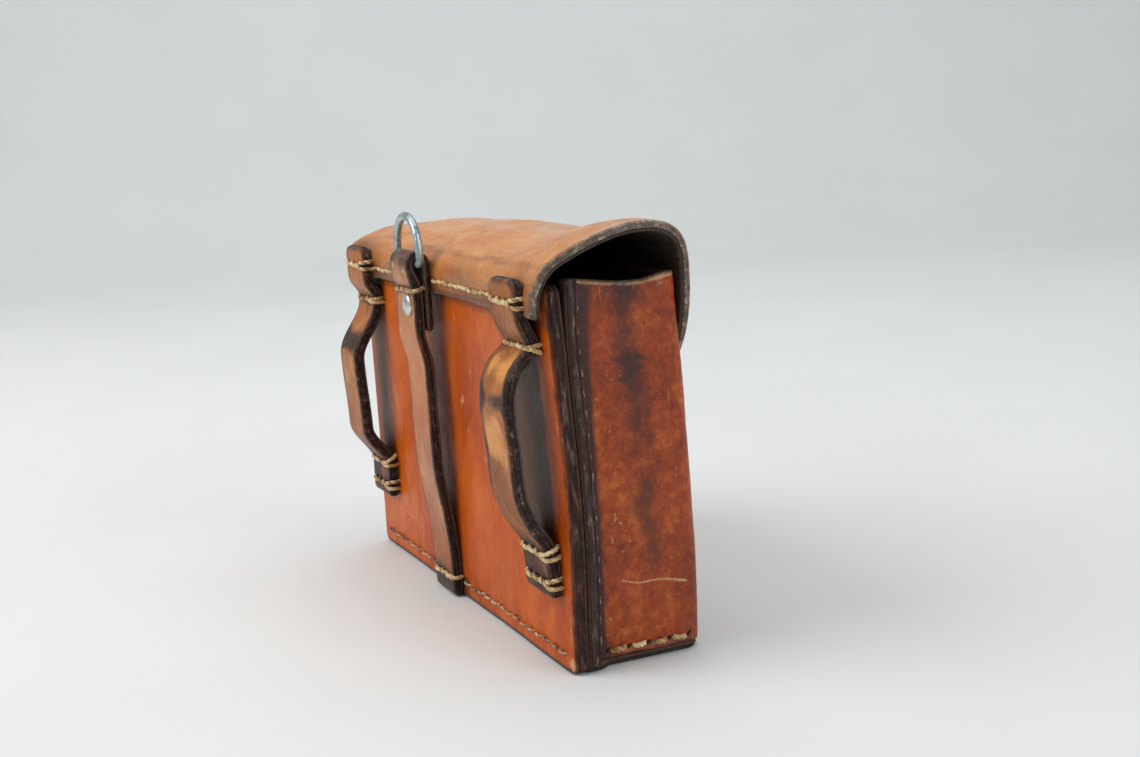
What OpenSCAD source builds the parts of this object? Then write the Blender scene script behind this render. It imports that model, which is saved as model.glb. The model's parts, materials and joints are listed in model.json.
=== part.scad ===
// Stitched leather belt pouch: a boxy case with a domed flap, two belt loops, a centre
// hanging strap with a D-ring, and a turn-stud closure. +X runs along the case, the flap
// closes on the -Y side, the belt runs behind the loops on the +Y side, Z is up.

/* [Case] */
// Length of the case over its two end seams
case_len = 156; // [140:1:180]
// Height of the walls
wall_h = 100; // [95:1:110]
// How far the end seams stand out past the end walls
seam_out = 2.5; // [1.5:0.1:3]
// Distance from the centre plane to the outer face of the front
front_y = 20.8; // [18:0.1:24]
// Distance from the centre plane to the outer face of the back panel
back_y = 17; // [15:0.1:22]
// Leather thickness of the one-piece front and ends
wall_t = 3.4; // [2.5:0.1:4]
// Leather thickness of the back panel
back_t = 4.2; // [3:0.1:5]
// Leather thickness of the seam flanges
flange_t = 3.8; // [3:0.1:4.2]
// Thickness of the bottom sole
sole_t = 2.2; // [2:0.1:3.5]
// Height of the rim that the bottom turns up inside the walls
rim_h = 6.5; // [5:0.1:10]
// Thickness of that rim
rim_t = 2.6; // [2:0.1:3]

/* [Flap] */
// Length of the flap along the case
flap_len = 159.2; // [150:0.1:184]
// Leather thickness of the flap
flap_t = 3; // [2:0.1:3.2]
// Height of the flap's stitched lower edge on the back
flap_foot_z = 91.7; // [88:0.1:93]
// Height of the flap's lower edge on the front
flap_front_z = 69; // [60:0.5:75]
// Corner radius of the flap's front
flap_corner_r = 24; // [15:1:30]

/* [Loops and strap] */
// Width of each belt loop
loop_w = 17.5; // [14:0.5:20]
// Leather thickness of the loops
loop_t = 3.4; // [2.5:0.1:3.6]
// Centre of the near loop along the case
near_loop_x = -63.2; // [-66:0.1:-50]
// Centre of the far loop along the case
far_loop_x = 67.5; // [50:0.1:68]
// Belt space behind the near loop at its widest
near_gap = 8.2; // [6:0.1:10]
// Belt space behind the far loop at its widest
far_gap = 8; // [6:0.1:10]
// Centre of the hanging strap along the case
strap_x = 10.5; // [0:0.5:14]
// Width of the hanging strap
strap_w = 16.5; // [14:0.1:17]
// Leather thickness of the hanging strap
strap_t = 3; // [2.5:0.1:3.1]

/* [Hardware] */
// Wire diameter of the D-ring
ring_d = 2.4; // [2:0.1:2.6]
// Height of the D-ring above its bar, to the outside of the arch
ring_h = 14.5; // [13:0.1:18]
// Head diameter of the strap rivet
rivet_head_d = 6.4; // [5:0.1:7]
// Height of the turn stud on the front
stud_z = 37; // [33:0.5:40]
// Length of the turn stud's bar head
stud_bar = 11; // [9:0.5:12]

/* [Closing tab] */
// Width of the closing tab
tab_w = 20; // [18:0.5:24]
// Leather thickness of the closing tab
tab_t = 2.6; // [2:0.1:2.8]
// Height of the tab's upper end on the flap
tab_top_z = 87; // [84:0.5:89]
// Height of the tab's lower end
tab_low_z = 20; // [16:0.5:24]

/* [Thread] */
// Thread diameter
thread_d = 1.2; // [0.8:0.1:1.4]
// Pitch of the stitches
pitch = 5.6; // [4.5:0.1:7]

/* [Hidden] */
$fn = 48;

eps = 0.01;
half_len = case_len / 2;
wall_x = half_len - seam_out;
back_in_y = back_y - back_t;
flange_in_y = back_in_y - flange_t;
corner_r = 4.5;
corner_min_r = 0.6;
panel_corner_r = 3;
panel_top_z = wall_h - 1.5;

// Flap: a fixed shoulder, then a moving slope and crown, as curves in the Y-Z plane
flap_mid_y = back_y + flap_t / 2;
drop_y = -(front_y + 0.3 + flap_t / 2);
crown_z = wall_h + 8.8;
hinge_y = 11;
hinge_z = crown_z - 4.2;
strip_end = 0.84;
shoulder = [[flap_mid_y, panel_top_z], [flap_mid_y, panel_top_z + 3.6],
    [flap_mid_y - 2.6, hinge_z - 2], [hinge_y, hinge_z]];
slope = [[hinge_y, hinge_z], [hinge_y - 5, hinge_z + 2.2], [-1.5, crown_z], [-7, crown_z]];
crown = [[-7, crown_z], [-16, crown_z], [drop_y, wall_h + 6.5], [drop_y, wall_h + 0.5]];
flap_taper = 4;
curve_steps = 12;
hinge_skin = 0.03;

// Loops and strap
loop_foot_z = 19.3;
loop_top_z = 101.5;
loop_foot_y = back_y + loop_t / 2;
pad_y = back_y + flap_t + loop_t / 2;
loop_rows_z = [23.2, 31.3, 84.3];
loop_foot_top_z = 32.5;
loop_bulge_low_z = 46;
loop_bulge_high_z = 68;
loop_head_z = 83.4;
loop_lift = 0.9;
pad_row_z = 95.6;
tail_t = 2;
tail_low_z = 80.5;
tail_y = back_y + flap_t + tail_t / 2;
strap_top_y = back_y + flap_t + tail_t + 0.6 + strap_t / 2;
strap_mid_y = back_y + 4.3 + strap_t / 2;
bar_z = wall_h + 0.5;
bore_r = ring_d / 2 + 0.3;
bar_y = tail_y + tail_t / 2 + bore_r;
fold_join_z = bar_z - 0.7;
fold_low_z = 91.8;
strap_free_z = 69;
strap_bow_z = 44;
rivet_x = strap_x - 2.7;
rivet_z = 88.3;
rivet_r = 1.5;
burr_r = 2.8;
burr_t = 0.8;
rivet_out_y = strap_top_y + strap_t / 2;
rivet_in_y = tail_y - tail_t / 2;

// D-ring
leg_x = strap_w / 2 + 1.55;
arch_r = leg_x;
joint_swell = 0.04;
arch_z = bar_z + ring_h - ring_d / 2 - arch_r;

// Closing tab and turn stud
tab_out_y = drop_y - flap_t / 2 - tab_t / 2;
tab_in_y = -(front_y + 1 + tab_t / 2);
tab_hinge_z = flap_front_z - 5;
tab_gap = 0.4;
plate_t = 0.6;
plate_pin_x = 7;
plate_pin_r = 0.8;
plate_end_r = 4.5;
stud_r = 2;
stud_play = 0.3;
plate_play = 0.05;
stud_bar_w = 4.8;
stud_bar_t = 2.4;
stud_bar_y = tab_in_y - tab_t / 2 - 0.6;
slot_w = stud_bar_w + 1.4;
slot_slack = 0.8;
slot_rise = 4.6;

// Thread rows
thread_r_in = thread_d * 0.36;
stitch_fill = 0.74;
back_row_z = 4.8;
end_row_z = sole_t + 2.2;
seam_row_x = half_len - 1.6;
flap_row_z = 95.3;
strap_low_row_z = 6.2;
strap_high_row_z = fold_low_z + 1.2;
row_end = 0.8;

leather = [0.68, 0.34, 0.16];
leather_dark = [0.55, 0.25, 0.13];
leather_flap = [0.78, 0.55, 0.38];
leather_edge = [0.40, 0.24, 0.16];
steel = [0.62, 0.68, 0.70];
brass = [0.66, 0.55, 0.30];
linen = [0.87, 0.78, 0.58];

// A point of a cubic curve through four control points
function curve_at(c, t) = pow(1 - t, 3) * c[0] + 3 * t * pow(1 - t, 2) * c[1]
    + 3 * t * t * (1 - t) * c[2] + pow(t, 3) * c[3];
// Points along that curve from t0 to t1, without the first one
function curve(c, t0 = 0, t1 = 1) =
    [for (i = [1:curve_steps]) curve_at(c, t0 + (t1 - t0) * i / curve_steps)];
// A smooth step from y0 to y1 between heights z0 and z1, without its first point
function glide(y0, z0, y1, z1) = [for (i = [1:curve_steps])
    let (t = i / curve_steps) [y0 + (y1 - y0) * t * t * (3 - 2 * t), z0 + (z1 - z0) * t]];
function unit(v) = v / norm(v);
// Left-hand normal of a path at point i
function normal(p, i) = let (d = unit(p[min(i + 1, len(p) - 1)] - p[max(i - 1, 0)]))
    [-d[1], d[0]];
// Outline of a strip of leather about a path, of thickness t[i] at each point
function strip_of(p, t) = concat(
    [for (i = [0:len(p) - 1]) p[i] + normal(p, i) * t[i] / 2],
    [for (i = [len(p) - 1:-1:0]) p[i] - normal(p, i) * t[i] / 2]);
function strip(p, t) = strip_of(p, [for (i = p) t]);
// An arc about c from angle a0 to a1, with both its ends
function arc(c, r, a0, a1) = [for (i = [0:curve_steps])
    let (a = a0 + (a1 - a0) * i / curve_steps) c + r * [cos(a), sin(a)]];

// A Y-Z outline swept along X between x0 and x1
module along_x(x0, x1)
    translate([x0, 0, 0]) rotate([90, 0, 90]) linear_extrude(x1 - x0) children();

// An X-Z outline swept along Y from y0 towards +Y
module along_y(y0, y1)
    translate([0, y1, 0]) rotate([90, 0, 0]) linear_extrude(y1 - y0) children();

// A cylinder along Y between y0 and y1
module pin_y(x, z, r, y0, y1)
    translate([x, y1, z]) rotate([90, 0, 0]) cylinder(r = r, h = y1 - y0);

// A cylinder between two points
module rod(a, b, r) {
    d = b - a;
    translate(a) rotate([0, acos(d[2] / norm(d)), atan2(d[1], d[0])])
        cylinder(r = r, h = norm(d));
}

// One stitch: a bar on the +Y face with two legs through the leather, along X
module stitch_x(x, z, y_face, y_in, len = pitch * stitch_fill, slant = 0) {
    leg = len / 2 - thread_d / 2;
    translate([x, y_face, z]) rotate([0, slant, 0]) {
        translate([-len / 2, 0, 0]) rotate([0, 90, 0]) cylinder(d = thread_d, h = len);
        for (s = [-1, 1]) pin_y(s * leg, 0, thread_r_in, y_in - y_face, 0);
    }
}

// A row of stitches along X between x0 and x1
module row_x(x0, x1, z, y_face, y_in, slant = 0) {
    n = max(1, round((x1 - x0) / pitch));
    step = (x1 - x0) / n;
    for (i = [0:n - 1])
        stitch_x(x0 + (i + 0.5) * step, z, y_face, y_in, step * stitch_fill, slant);
}

// --- Case ---

// Plan of the case up to y_back, its front corners rounded, all sides moved in by inset
module plan(inset, y_back) {
    x = wall_x - inset;
    y = front_y - inset;
    r = max(corner_r - inset, corner_min_r);
    translate([-x, -y + r]) square([2 * x, y - r + y_back]);
    translate([-x + r, -y]) square([2 * (x - r), r + eps]);
    for (s = [-1, 1]) translate([s * (x - r), -y + r]) circle(r);
}

module back_panel() {
    color(leather) along_y(back_in_y, back_y) union() {
        translate([-half_len, panel_corner_r])
            square([case_len, panel_top_z - panel_corner_r]);
        translate([-half_len + panel_corner_r, 0])
            square([case_len - 2 * panel_corner_r, panel_corner_r + eps]);
        for (s = [-1, 1])
            translate([s * (half_len - panel_corner_r), panel_corner_r])
                circle(panel_corner_r);
    }
}

module body_wrap() {
    color(leather_dark) difference() {
        translate([0, 0, sole_t]) linear_extrude(wall_h - sole_t) union() {
            difference() {
                plan(0, back_in_y);
                plan(wall_t, back_in_y + 1);
            }
            for (s = [-1, 1])
                translate([s > 0 ? wall_x - eps : -half_len, flange_in_y])
                    square([seam_out + eps, flange_t]);
        }
        pin_y(0, stud_z, stud_r + stud_play, -front_y - 1, -front_y + wall_t + 1);
        for (s = [-1, 1])
            pin_y(s * plate_pin_x, stud_z, plate_pin_r, -front_y - 1, -front_y + wall_t + 1);
    }
}

module bottom_panel() {
    color(leather_edge) union() {
        linear_extrude(sole_t) plan(0, back_in_y);
        translate([0, 0, sole_t - eps]) linear_extrude(rim_h + eps) difference() {
            plan(wall_t, back_in_y);
            plan(wall_t + rim_t, back_in_y - rim_t);
        }
    }
}

// --- Flap ---

module flap_seam_strip() {
    path = concat([[flap_mid_y, flap_foot_z], shoulder[0]], curve(shoulder, 0, strip_end));
    color(leather_flap) along_x(-flap_len / 2, flap_len / 2) polygon(strip(path, flap_t));
}

module flap_shell() {
    path = concat([[hinge_y, hinge_z]], curve(slope), curve(crown),
        [[drop_y, flap_front_z]]);
    r = flap_corner_r;
    color(leather_flap) difference() {
        union() {
            along_x(-flap_len / 2, flap_len / 2) polygon(strip(path, flap_t));
            rod([-flap_len / 2, hinge_y, hinge_z], [flap_len / 2, hinge_y, hinge_z],
                flap_t / 2 - hinge_skin);
        }
        for (s = [-1, 1])
            translate([s * (flap_len / 2 - flap_taper - r), 0, flap_front_z + r])
            along_y(-front_y - 10, -front_y + 8) difference() {
                translate([s > 0 ? 0 : -r - 1, -r - 1]) square([r + 1, r + 1]);
                circle(r);
            }
        for (s = [-1, 1]) translate([0, 0, flap_front_z - 1]) linear_extrude(crown_z)
            polygon([for (p = [[1, crown[0][0]], [0, crown[0][0]],
                [-flap_taper, drop_y + flap_t], [-flap_taper, drop_y - flap_t],
                [1, drop_y - flap_t]]) [s * (flap_len / 2 + p[0]), p[1]]]);
    }
}

// --- Belt loops ---

function loop_path(gap) = let (y = back_y + gap + loop_t / 2) concat(
    [[loop_foot_y, loop_foot_z], [loop_foot_y, loop_foot_top_z]],
    glide(loop_foot_y, loop_foot_top_z, y - loop_lift, loop_bulge_low_z),
    glide(y - loop_lift, loop_bulge_low_z, y, loop_bulge_high_z),
    glide(y, loop_bulge_high_z, loop_foot_y, loop_head_z),
    [[loop_foot_y, loop_head_z + 1.9]],
    glide(loop_foot_y, loop_head_z + 1.9, pad_y, flap_foot_z - 0.4),
    [[pad_y, loop_top_z]]);

module belt_loop(x, gap) {
    r = 2.5;
    color(leather_dark) intersection() {
        along_x(x - loop_w / 2, x + loop_w / 2) polygon(strip(loop_path(gap), loop_t));
        along_y(back_y - 5, back_y + 20) union() {
            translate([x - loop_w / 2, loop_foot_z]) square([loop_w, loop_top_z - loop_foot_z - r]);
            translate([x - loop_w / 2 + r, loop_foot_z])
                square([loop_w - 2 * r, loop_top_z - loop_foot_z]);
            for (s = [-1, 1])
                translate([x + s * (loop_w / 2 - r), loop_top_z - r]) circle(r);
        }
    }
}

module near_belt_loop() belt_loop(near_loop_x, near_gap);
module far_belt_loop() belt_loop(far_loop_x, far_gap);

// --- Hanging strap, folded round the bar of the D-ring ---

module centre_strap() {
    foot_y = back_y + strap_t / 2;
    fold_y = bore_r + tail_t / 2;
    tail = [[tail_y, tail_low_z], [tail_y, fold_join_z]];
    fold = arc([bar_y, bar_z], fold_y, 180, 0);
    front = concat(glide(bar_y + fold_y, fold_join_z, strap_top_y, fold_low_z),
        [[strap_top_y, tail_low_z]],
        glide(strap_top_y, tail_low_z, strap_mid_y, strap_free_z),
        glide(strap_mid_y, strap_bow_z, foot_y, strap_low_row_z + 3), [[foot_y, 0.6]]);
    thickness = concat([for (i = concat(tail, fold)) tail_t], [for (i = front) strap_t]);
    color(leather_dark) difference() {
        along_x(strap_x - strap_w / 2, strap_x + strap_w / 2)
            polygon(strip_of(concat(tail, fold, front), thickness));
        pin_y(rivet_x, rivet_z, rivet_r, rivet_in_y - 1, rivet_out_y + 1);
    }
}

module strap_rivet() {
    dome_r = 4.6;
    dome_h = 1.3;
    color(steel) union() {
        pin_y(rivet_x, rivet_z, rivet_r, rivet_in_y - burr_t - 0.1, rivet_out_y + 0.1);
        intersection() {
            pin_y(rivet_x, rivet_z, rivet_head_d / 2, rivet_out_y, rivet_out_y + dome_h);
            translate([rivet_x, rivet_out_y + dome_h - dome_r, rivet_z]) sphere(dome_r);
        }
    }
}

module rivet_burr() {
    color(steel) difference() {
        pin_y(rivet_x, rivet_z, burr_r, rivet_in_y - burr_t, rivet_in_y);
        pin_y(rivet_x, rivet_z, rivet_r, rivet_in_y - 2, rivet_in_y + 1);
    }
}

module d_ring() {
    r = ring_d / 2;
    color(steel) translate([strap_x, bar_y, 0]) union() {
        rod([-leg_x, 0, bar_z], [leg_x, 0, bar_z], r);
        for (s = [-1, 1]) {
            translate([s * leg_x, 0, bar_z]) sphere(r + joint_swell);
            rod([s * leg_x, 0, bar_z], [s * arch_r, 0, arch_z], r);
            translate([s * arch_r, 0, arch_z]) sphere(r + joint_swell);
        }
        intersection() {
            translate([0, 0, arch_z]) rotate([90, 0, 0]) rotate_extrude()
                translate([arch_r, 0]) circle(r);
            translate([-20, -20, arch_z]) cube(40);
        }
    }
}

// --- Closure ---

module tab_root() {
    z0 = tab_hinge_z + tab_t / 2 + tab_gap;
    r = 4;
    color(leather_dark) along_y(tab_out_y - tab_t / 2, tab_out_y + tab_t / 2) union() {
        translate([-tab_w / 2, z0]) square([tab_w, tab_top_z - z0 - r]);
        translate([-tab_w / 2 + r, z0]) square([tab_w - 2 * r, tab_top_z - z0]);
        for (s = [-1, 1]) translate([s * (tab_w / 2 - r), tab_top_z - r]) circle(r);
    }
}

module slot_outline() {
    low = stud_z - stud_bar / 2 - slot_slack - slot_rise + slot_w / 2;
    high = stud_z + stud_bar / 2 + slot_slack - slot_w / 2;
    translate([-slot_w / 2, low]) square([slot_w, high - low]);
    for (z = [low, high]) translate([0, z]) circle(slot_w / 2);
}

module closure_tab() {
    path = concat([[tab_out_y, tab_hinge_z]],
        glide(tab_out_y, tab_hinge_z, tab_in_y, tab_hinge_z - 13), [[tab_in_y, tab_low_z]]);
    color(leather_dark) difference() {
        intersection() {
            union() {
                along_x(-tab_w / 2, tab_w / 2) polygon(strip(path, tab_t));
                rod([-tab_w / 2, tab_out_y, tab_hinge_z], [tab_w / 2, tab_out_y, tab_hinge_z],
                    tab_t / 2 - hinge_skin);
            }
            along_y(tab_out_y - 10, tab_in_y + 10) union() {
                translate([-tab_w / 2, tab_low_z + tab_w / 2]) square([tab_w, 60]);
                translate([0, tab_low_z + tab_w / 2]) circle(tab_w / 2);
            }
        }
        along_y(tab_out_y - 10, tab_in_y + 10) slot_outline();
    }
}

module stud_plate() {
    color(brass) difference() {
        along_y(-front_y - plate_t, -front_y) union() {
            translate([-plate_pin_x, stud_z - plate_end_r])
                square([2 * plate_pin_x, 2 * plate_end_r]);
            for (s = [-1, 1]) translate([s * plate_pin_x, stud_z]) circle(plate_end_r);
        }
        pin_y(0, stud_z, stud_r + plate_play, -front_y - 2, -front_y + 1);
        for (s = [-1, 1])
            pin_y(s * plate_pin_x, stud_z, plate_pin_r, -front_y - 2, -front_y + 1);
    }
}

module stud_plate_pins() {
    plate_y = -front_y - plate_t;
    inner_y = -front_y + wall_t;
    x = plate_pin_x;
    r = plate_pin_r;
    color(brass) for (s = [-1, 1]) union() {
        pin_y(s * x, stud_z, r, plate_y - 0.1, inner_y + 0.4);
        pin_y(s * x, stud_z, 1.5 * r, plate_y - 0.3, plate_y);
        pin_y(s * x, stud_z, 2 * r, inner_y, inner_y + 0.5);
    }
}

module turn_stud() {
    color(brass) union() {
        pin_y(0, stud_z, stud_r, stud_bar_y - 0.5, -front_y + wall_t + 1.6);
        along_y(stud_bar_y - stud_bar_t, stud_bar_y) union() {
            half = (stud_bar - stud_bar_w) / 2;
            translate([-stud_bar_w / 2, stud_z - half]) square([stud_bar_w, 2 * half]);
            for (s = [-1, 1]) translate([0, stud_z + s * half]) circle(stud_bar_w / 2);
        }
    }
}

module stud_burr() {
    y = -front_y + wall_t + 0.3;
    color(brass) difference() {
        pin_y(0, stud_z, 4.2, y, y + 1);
        pin_y(0, stud_z, stud_r, y - 1, y + 2);
    }
}

// --- Thread ---

module seam_thread(side) {
    z0 = sole_t + 3;
    n = round((wall_h - 4 - z0) / pitch);
    step = (wall_h - 4 - z0) / n;
    half = step * stitch_fill / 2;
    leg = half - thread_d / 2;
    color(linen) for (i = [0:n - 1]) translate([side * seam_row_x, 0, z0 + (i + 0.5) * step])
        union() {
            translate([0, flange_in_y, -half]) cylinder(d = thread_d, h = 2 * half);
            for (s = [-1, 1])
                pin_y(0, s * leg, thread_r_in, flange_in_y, back_y - 1.2);
        }
}

module near_seam_thread() seam_thread(-1);
module far_seam_thread() seam_thread(1);

module back_bottom_thread() {
    margin = 7;
    half_strap = strap_w / 2 + row_end;
    in_y = back_in_y - rim_t;
    color(linen) {
        row_x(-half_len + margin, strap_x - half_strap, back_row_z, back_y, in_y);
        row_x(strap_x + half_strap, half_len - margin, back_row_z, back_y, in_y);
    }
}

module end_bottom_thread() {
    y0 = -front_y + corner_r;
    n = 4;
    step = (flange_in_y - 2.7 - y0) / n;
    half = step * stitch_fill / 2;
    leg = half - thread_d / 2;
    in_x = wall_x - wall_t - rim_t;
    color(linen) for (side = [-1, 1], i = [0:n - 1])
        translate([0, y0 + (i + 0.5) * step, end_row_z]) union() {
            rod([side * wall_x, -half, 0], [side * wall_x, half, 0], thread_d / 2);
            for (s = [-1, 1])
                rod([side * in_x, s * leg, 0], [side * wall_x, s * leg, 0], thread_r_in);
        }
}

module front_bottom_thread() {
    x1 = wall_x - corner_r - 2.5;
    n = round(2 * x1 / pitch);
    step = 2 * x1 / n;
    color(linen) mirror([0, 1, 0]) for (i = [0:n - 1])
        stitch_x(-x1 + (i + 0.5) * step, end_row_z, front_y, front_y - wall_t - rim_t,
            step * stitch_fill);
}

module flap_seam_thread() {
    y_face = back_y + flap_t;
    half_strap = strap_w / 2 + row_end;
    half_loop = loop_w / 2 + row_end;
    color(linen) {
        row_x(near_loop_x + half_loop, strap_x - half_strap, flap_row_z, y_face, back_in_y);
        row_x(strap_x + half_strap, far_loop_x - half_loop, flap_row_z, y_face, back_in_y);
    }
}

module loop_thread(x) {
    x0 = x - loop_w / 2 + 1;
    x1 = x + loop_w / 2 - 1;
    color(linen) {
        for (z = loop_rows_z) row_x(x0, x1, z, back_y + loop_t, back_in_y);
        row_x(x0, x1, pad_row_z, pad_y + loop_t / 2, back_in_y);
    }
}

module near_loop_thread() loop_thread(near_loop_x);
module far_loop_thread() loop_thread(far_loop_x);

module strap_thread() {
    x0 = strap_x - strap_w / 2 + 1;
    x1 = strap_x + strap_w / 2 - 1;
    color(linen) {
        row_x(x0, x1, strap_low_row_z, back_y + strap_t, back_in_y - rim_t);
        row_x(x0, x1, strap_high_row_z, strap_top_y + strap_t / 2, back_in_y);
    }
}

module tab_thread() {
    y_face = -(tab_out_y - tab_t / 2);
    y_in = -(drop_y + flap_t / 2) + 0.4;
    color(linen) mirror([0, 1, 0]) {
        for (z = [tab_top_z - 3, flap_front_z + 3])
            row_x(-tab_w / 2 + 2, tab_w / 2 - 2, z, y_face, y_in);
    }
}

back_panel();
body_wrap();
bottom_panel();
flap_seam_strip();
flap_shell();
near_belt_loop();
far_belt_loop();
centre_strap();
strap_rivet();
rivet_burr();
d_ring();
tab_root();
closure_tab();
stud_plate();
stud_plate_pins();
turn_stud();
stud_burr();
near_seam_thread();
far_seam_thread();
back_bottom_thread();
end_bottom_thread();
front_bottom_thread();
flap_seam_thread();
near_loop_thread();
far_loop_thread();
strap_thread();
tab_thread();
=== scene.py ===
import json
import math
import random

import bpy
import numpy as np
from mathutils import Matrix, Vector, noise


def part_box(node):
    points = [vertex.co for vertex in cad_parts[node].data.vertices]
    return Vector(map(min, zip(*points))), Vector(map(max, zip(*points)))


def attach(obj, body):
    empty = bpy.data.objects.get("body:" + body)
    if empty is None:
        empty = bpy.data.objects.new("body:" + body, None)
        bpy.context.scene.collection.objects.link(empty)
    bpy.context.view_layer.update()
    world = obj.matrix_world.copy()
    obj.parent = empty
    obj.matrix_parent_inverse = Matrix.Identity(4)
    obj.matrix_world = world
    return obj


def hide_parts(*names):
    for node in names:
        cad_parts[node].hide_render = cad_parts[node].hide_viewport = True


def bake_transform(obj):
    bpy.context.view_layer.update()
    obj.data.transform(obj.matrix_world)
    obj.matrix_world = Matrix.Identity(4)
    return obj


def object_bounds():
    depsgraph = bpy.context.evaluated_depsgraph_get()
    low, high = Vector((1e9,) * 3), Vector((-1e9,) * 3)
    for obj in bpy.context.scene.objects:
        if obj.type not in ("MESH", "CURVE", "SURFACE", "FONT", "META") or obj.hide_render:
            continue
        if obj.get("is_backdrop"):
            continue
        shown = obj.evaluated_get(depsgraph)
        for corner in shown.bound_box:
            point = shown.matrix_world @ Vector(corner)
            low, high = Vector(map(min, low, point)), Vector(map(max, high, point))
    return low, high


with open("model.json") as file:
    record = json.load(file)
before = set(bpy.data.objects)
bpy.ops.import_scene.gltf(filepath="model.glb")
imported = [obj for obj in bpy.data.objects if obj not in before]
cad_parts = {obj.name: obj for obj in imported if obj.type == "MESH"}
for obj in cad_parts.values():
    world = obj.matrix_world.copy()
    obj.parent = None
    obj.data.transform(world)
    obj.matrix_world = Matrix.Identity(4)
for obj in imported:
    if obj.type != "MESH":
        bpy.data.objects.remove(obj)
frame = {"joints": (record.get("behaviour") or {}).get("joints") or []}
cad_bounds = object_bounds()

# ---------------------------------------------------------------- sizes in mm, from the CAD where it gives them


def box_mm(name):
    low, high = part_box(name)
    return np.array(low) * 1000, np.array(high) * 1000


def joint_mm(name):
    found = [j for j in frame["joints"] if j["name"] == name][0]
    return np.array(found["pos_m"]) * 1000


PANEL_LO, PANEL_HI = box_mm("back_panel")
WRAP_LO, WRAP_HI = box_mm("body_wrap")
SOLE_LO, SOLE_HI = box_mm("bottom_panel")
FOOT_LO, FOOT_HI = box_mm("flap_seam_strip")
SHELL_LO, SHELL_HI = box_mm("flap_shell")
NEAR_LO, NEAR_HI = box_mm("near_belt_loop")
FAR_LO, FAR_HI = box_mm("far_belt_loop")
STRAP_LO, STRAP_HI = box_mm("centre_strap")
RIVET_LO, RIVET_HI = box_mm("strap_rivet")
BURR_LO, BURR_HI = box_mm("rivet_burr")
ROOT_LO, ROOT_HI = box_mm("tab_root")
TAB_LO, TAB_HI = box_mm("closure_tab")
PLATE_LO, PLATE_HI = box_mm("stud_plate")
STUD_LO, STUD_HI = box_mm("turn_stud")
SBURR_LO, SBURR_HI = box_mm("stud_burr")
HINGE = joint_mm("flap_hinge")
TAB_HINGE = joint_mm("tab_lift")
RING_BAR = joint_mm("ring_swing")
STUD_AXIS = joint_mm("stud_turn")

HALF = PANEL_HI[0]
BACK_Y = PANEL_HI[1]
PANEL_T = PANEL_HI[1] - PANEL_LO[1]
FRONT_Y = WRAP_LO[1]
WALL_H = WRAP_HI[2]
SOLE_T = WRAP_LO[2]
SEAM_OUT = 2.5
WALL_X = HALF - SEAM_OUT
WALL_T = 3.4
CORNER_R = 4.5
FLAP_T = 3.0
FLAP_HALF = SHELL_HI[0]
STRAP_X = (STRAP_LO[0] + STRAP_HI[0]) / 2
NEAR_X = (NEAR_LO[0] + NEAR_HI[0]) / 2
FAR_X = (FAR_LO[0] + FAR_HI[0]) / 2
PITCH = 5.6
STITCH_REACH = 0.37  # half a stitch, as a share of its pitch

# heights of the rows of stitches
PANEL_ROW = 4.8
END_ROW = 4.15
FLAP_ROW = 95.3
LOOP_ROWS = (23.2, 31.0, 84.3, 95.8)
STRAP_ROW_HIGH, STRAP_ROW_LOW = 93.0, 6.2

# ---------------------------------------------------------------- small maths


def smooth(a, b, v):
    t = np.clip((np.asarray(v, float) - a) / (b - a), 0, 1)
    return t * t * (3 - 2 * t)


def hump(v, centre, width):
    return np.exp(-(((np.asarray(v, float) - centre) / width) ** 2))


def wobble(p, size, seed):
    """Smooth noise in -1..1 at the points p, with features of the given size in mm."""
    shift = Vector((seed * 17.3, seed * 5.1, seed * 9.7))
    flat = np.asarray(p, float).reshape(-1, 3) / size
    out = [noise.noise(Vector(q) + shift) for q in flat]
    return np.array(out).reshape(np.shape(p)[:-1])


def catmull(points, steps=14):
    """A dense smooth line through the points."""
    p = np.array(points, float)
    p = np.vstack([2 * p[0] - p[1], p, 2 * p[-1] - p[-2]])
    t = np.linspace(0, 1, steps, endpoint=False)[:, None]
    out = []
    for a, b, c, d in zip(p, p[1:], p[2:], p[3:]):
        out.append(
            0.5
            * (2 * b + (c - a) * t + (2 * a - 5 * b + 4 * c - d) * t * t + (3 * b - a - 3 * c + d) * t**3)
        )
    return np.vstack(out + [p[-2]])


def cubic(c, steps=24):
    t = np.linspace(0, 1, steps + 1)[:, None]
    c = [np.array(q, float) for q in c]
    return (1 - t) ** 3 * c[0] + 3 * t * (1 - t) ** 2 * c[1] + 3 * t * t * (1 - t) * c[2] + t**3 * c[3]


def glide(y0, z0, y1, z1, steps=16):
    t = np.linspace(0, 1, steps + 1)[:, None]
    return np.hstack([y0 + (y1 - y0) * t * t * (3 - 2 * t), z0 + (z1 - z0) * t])


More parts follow.
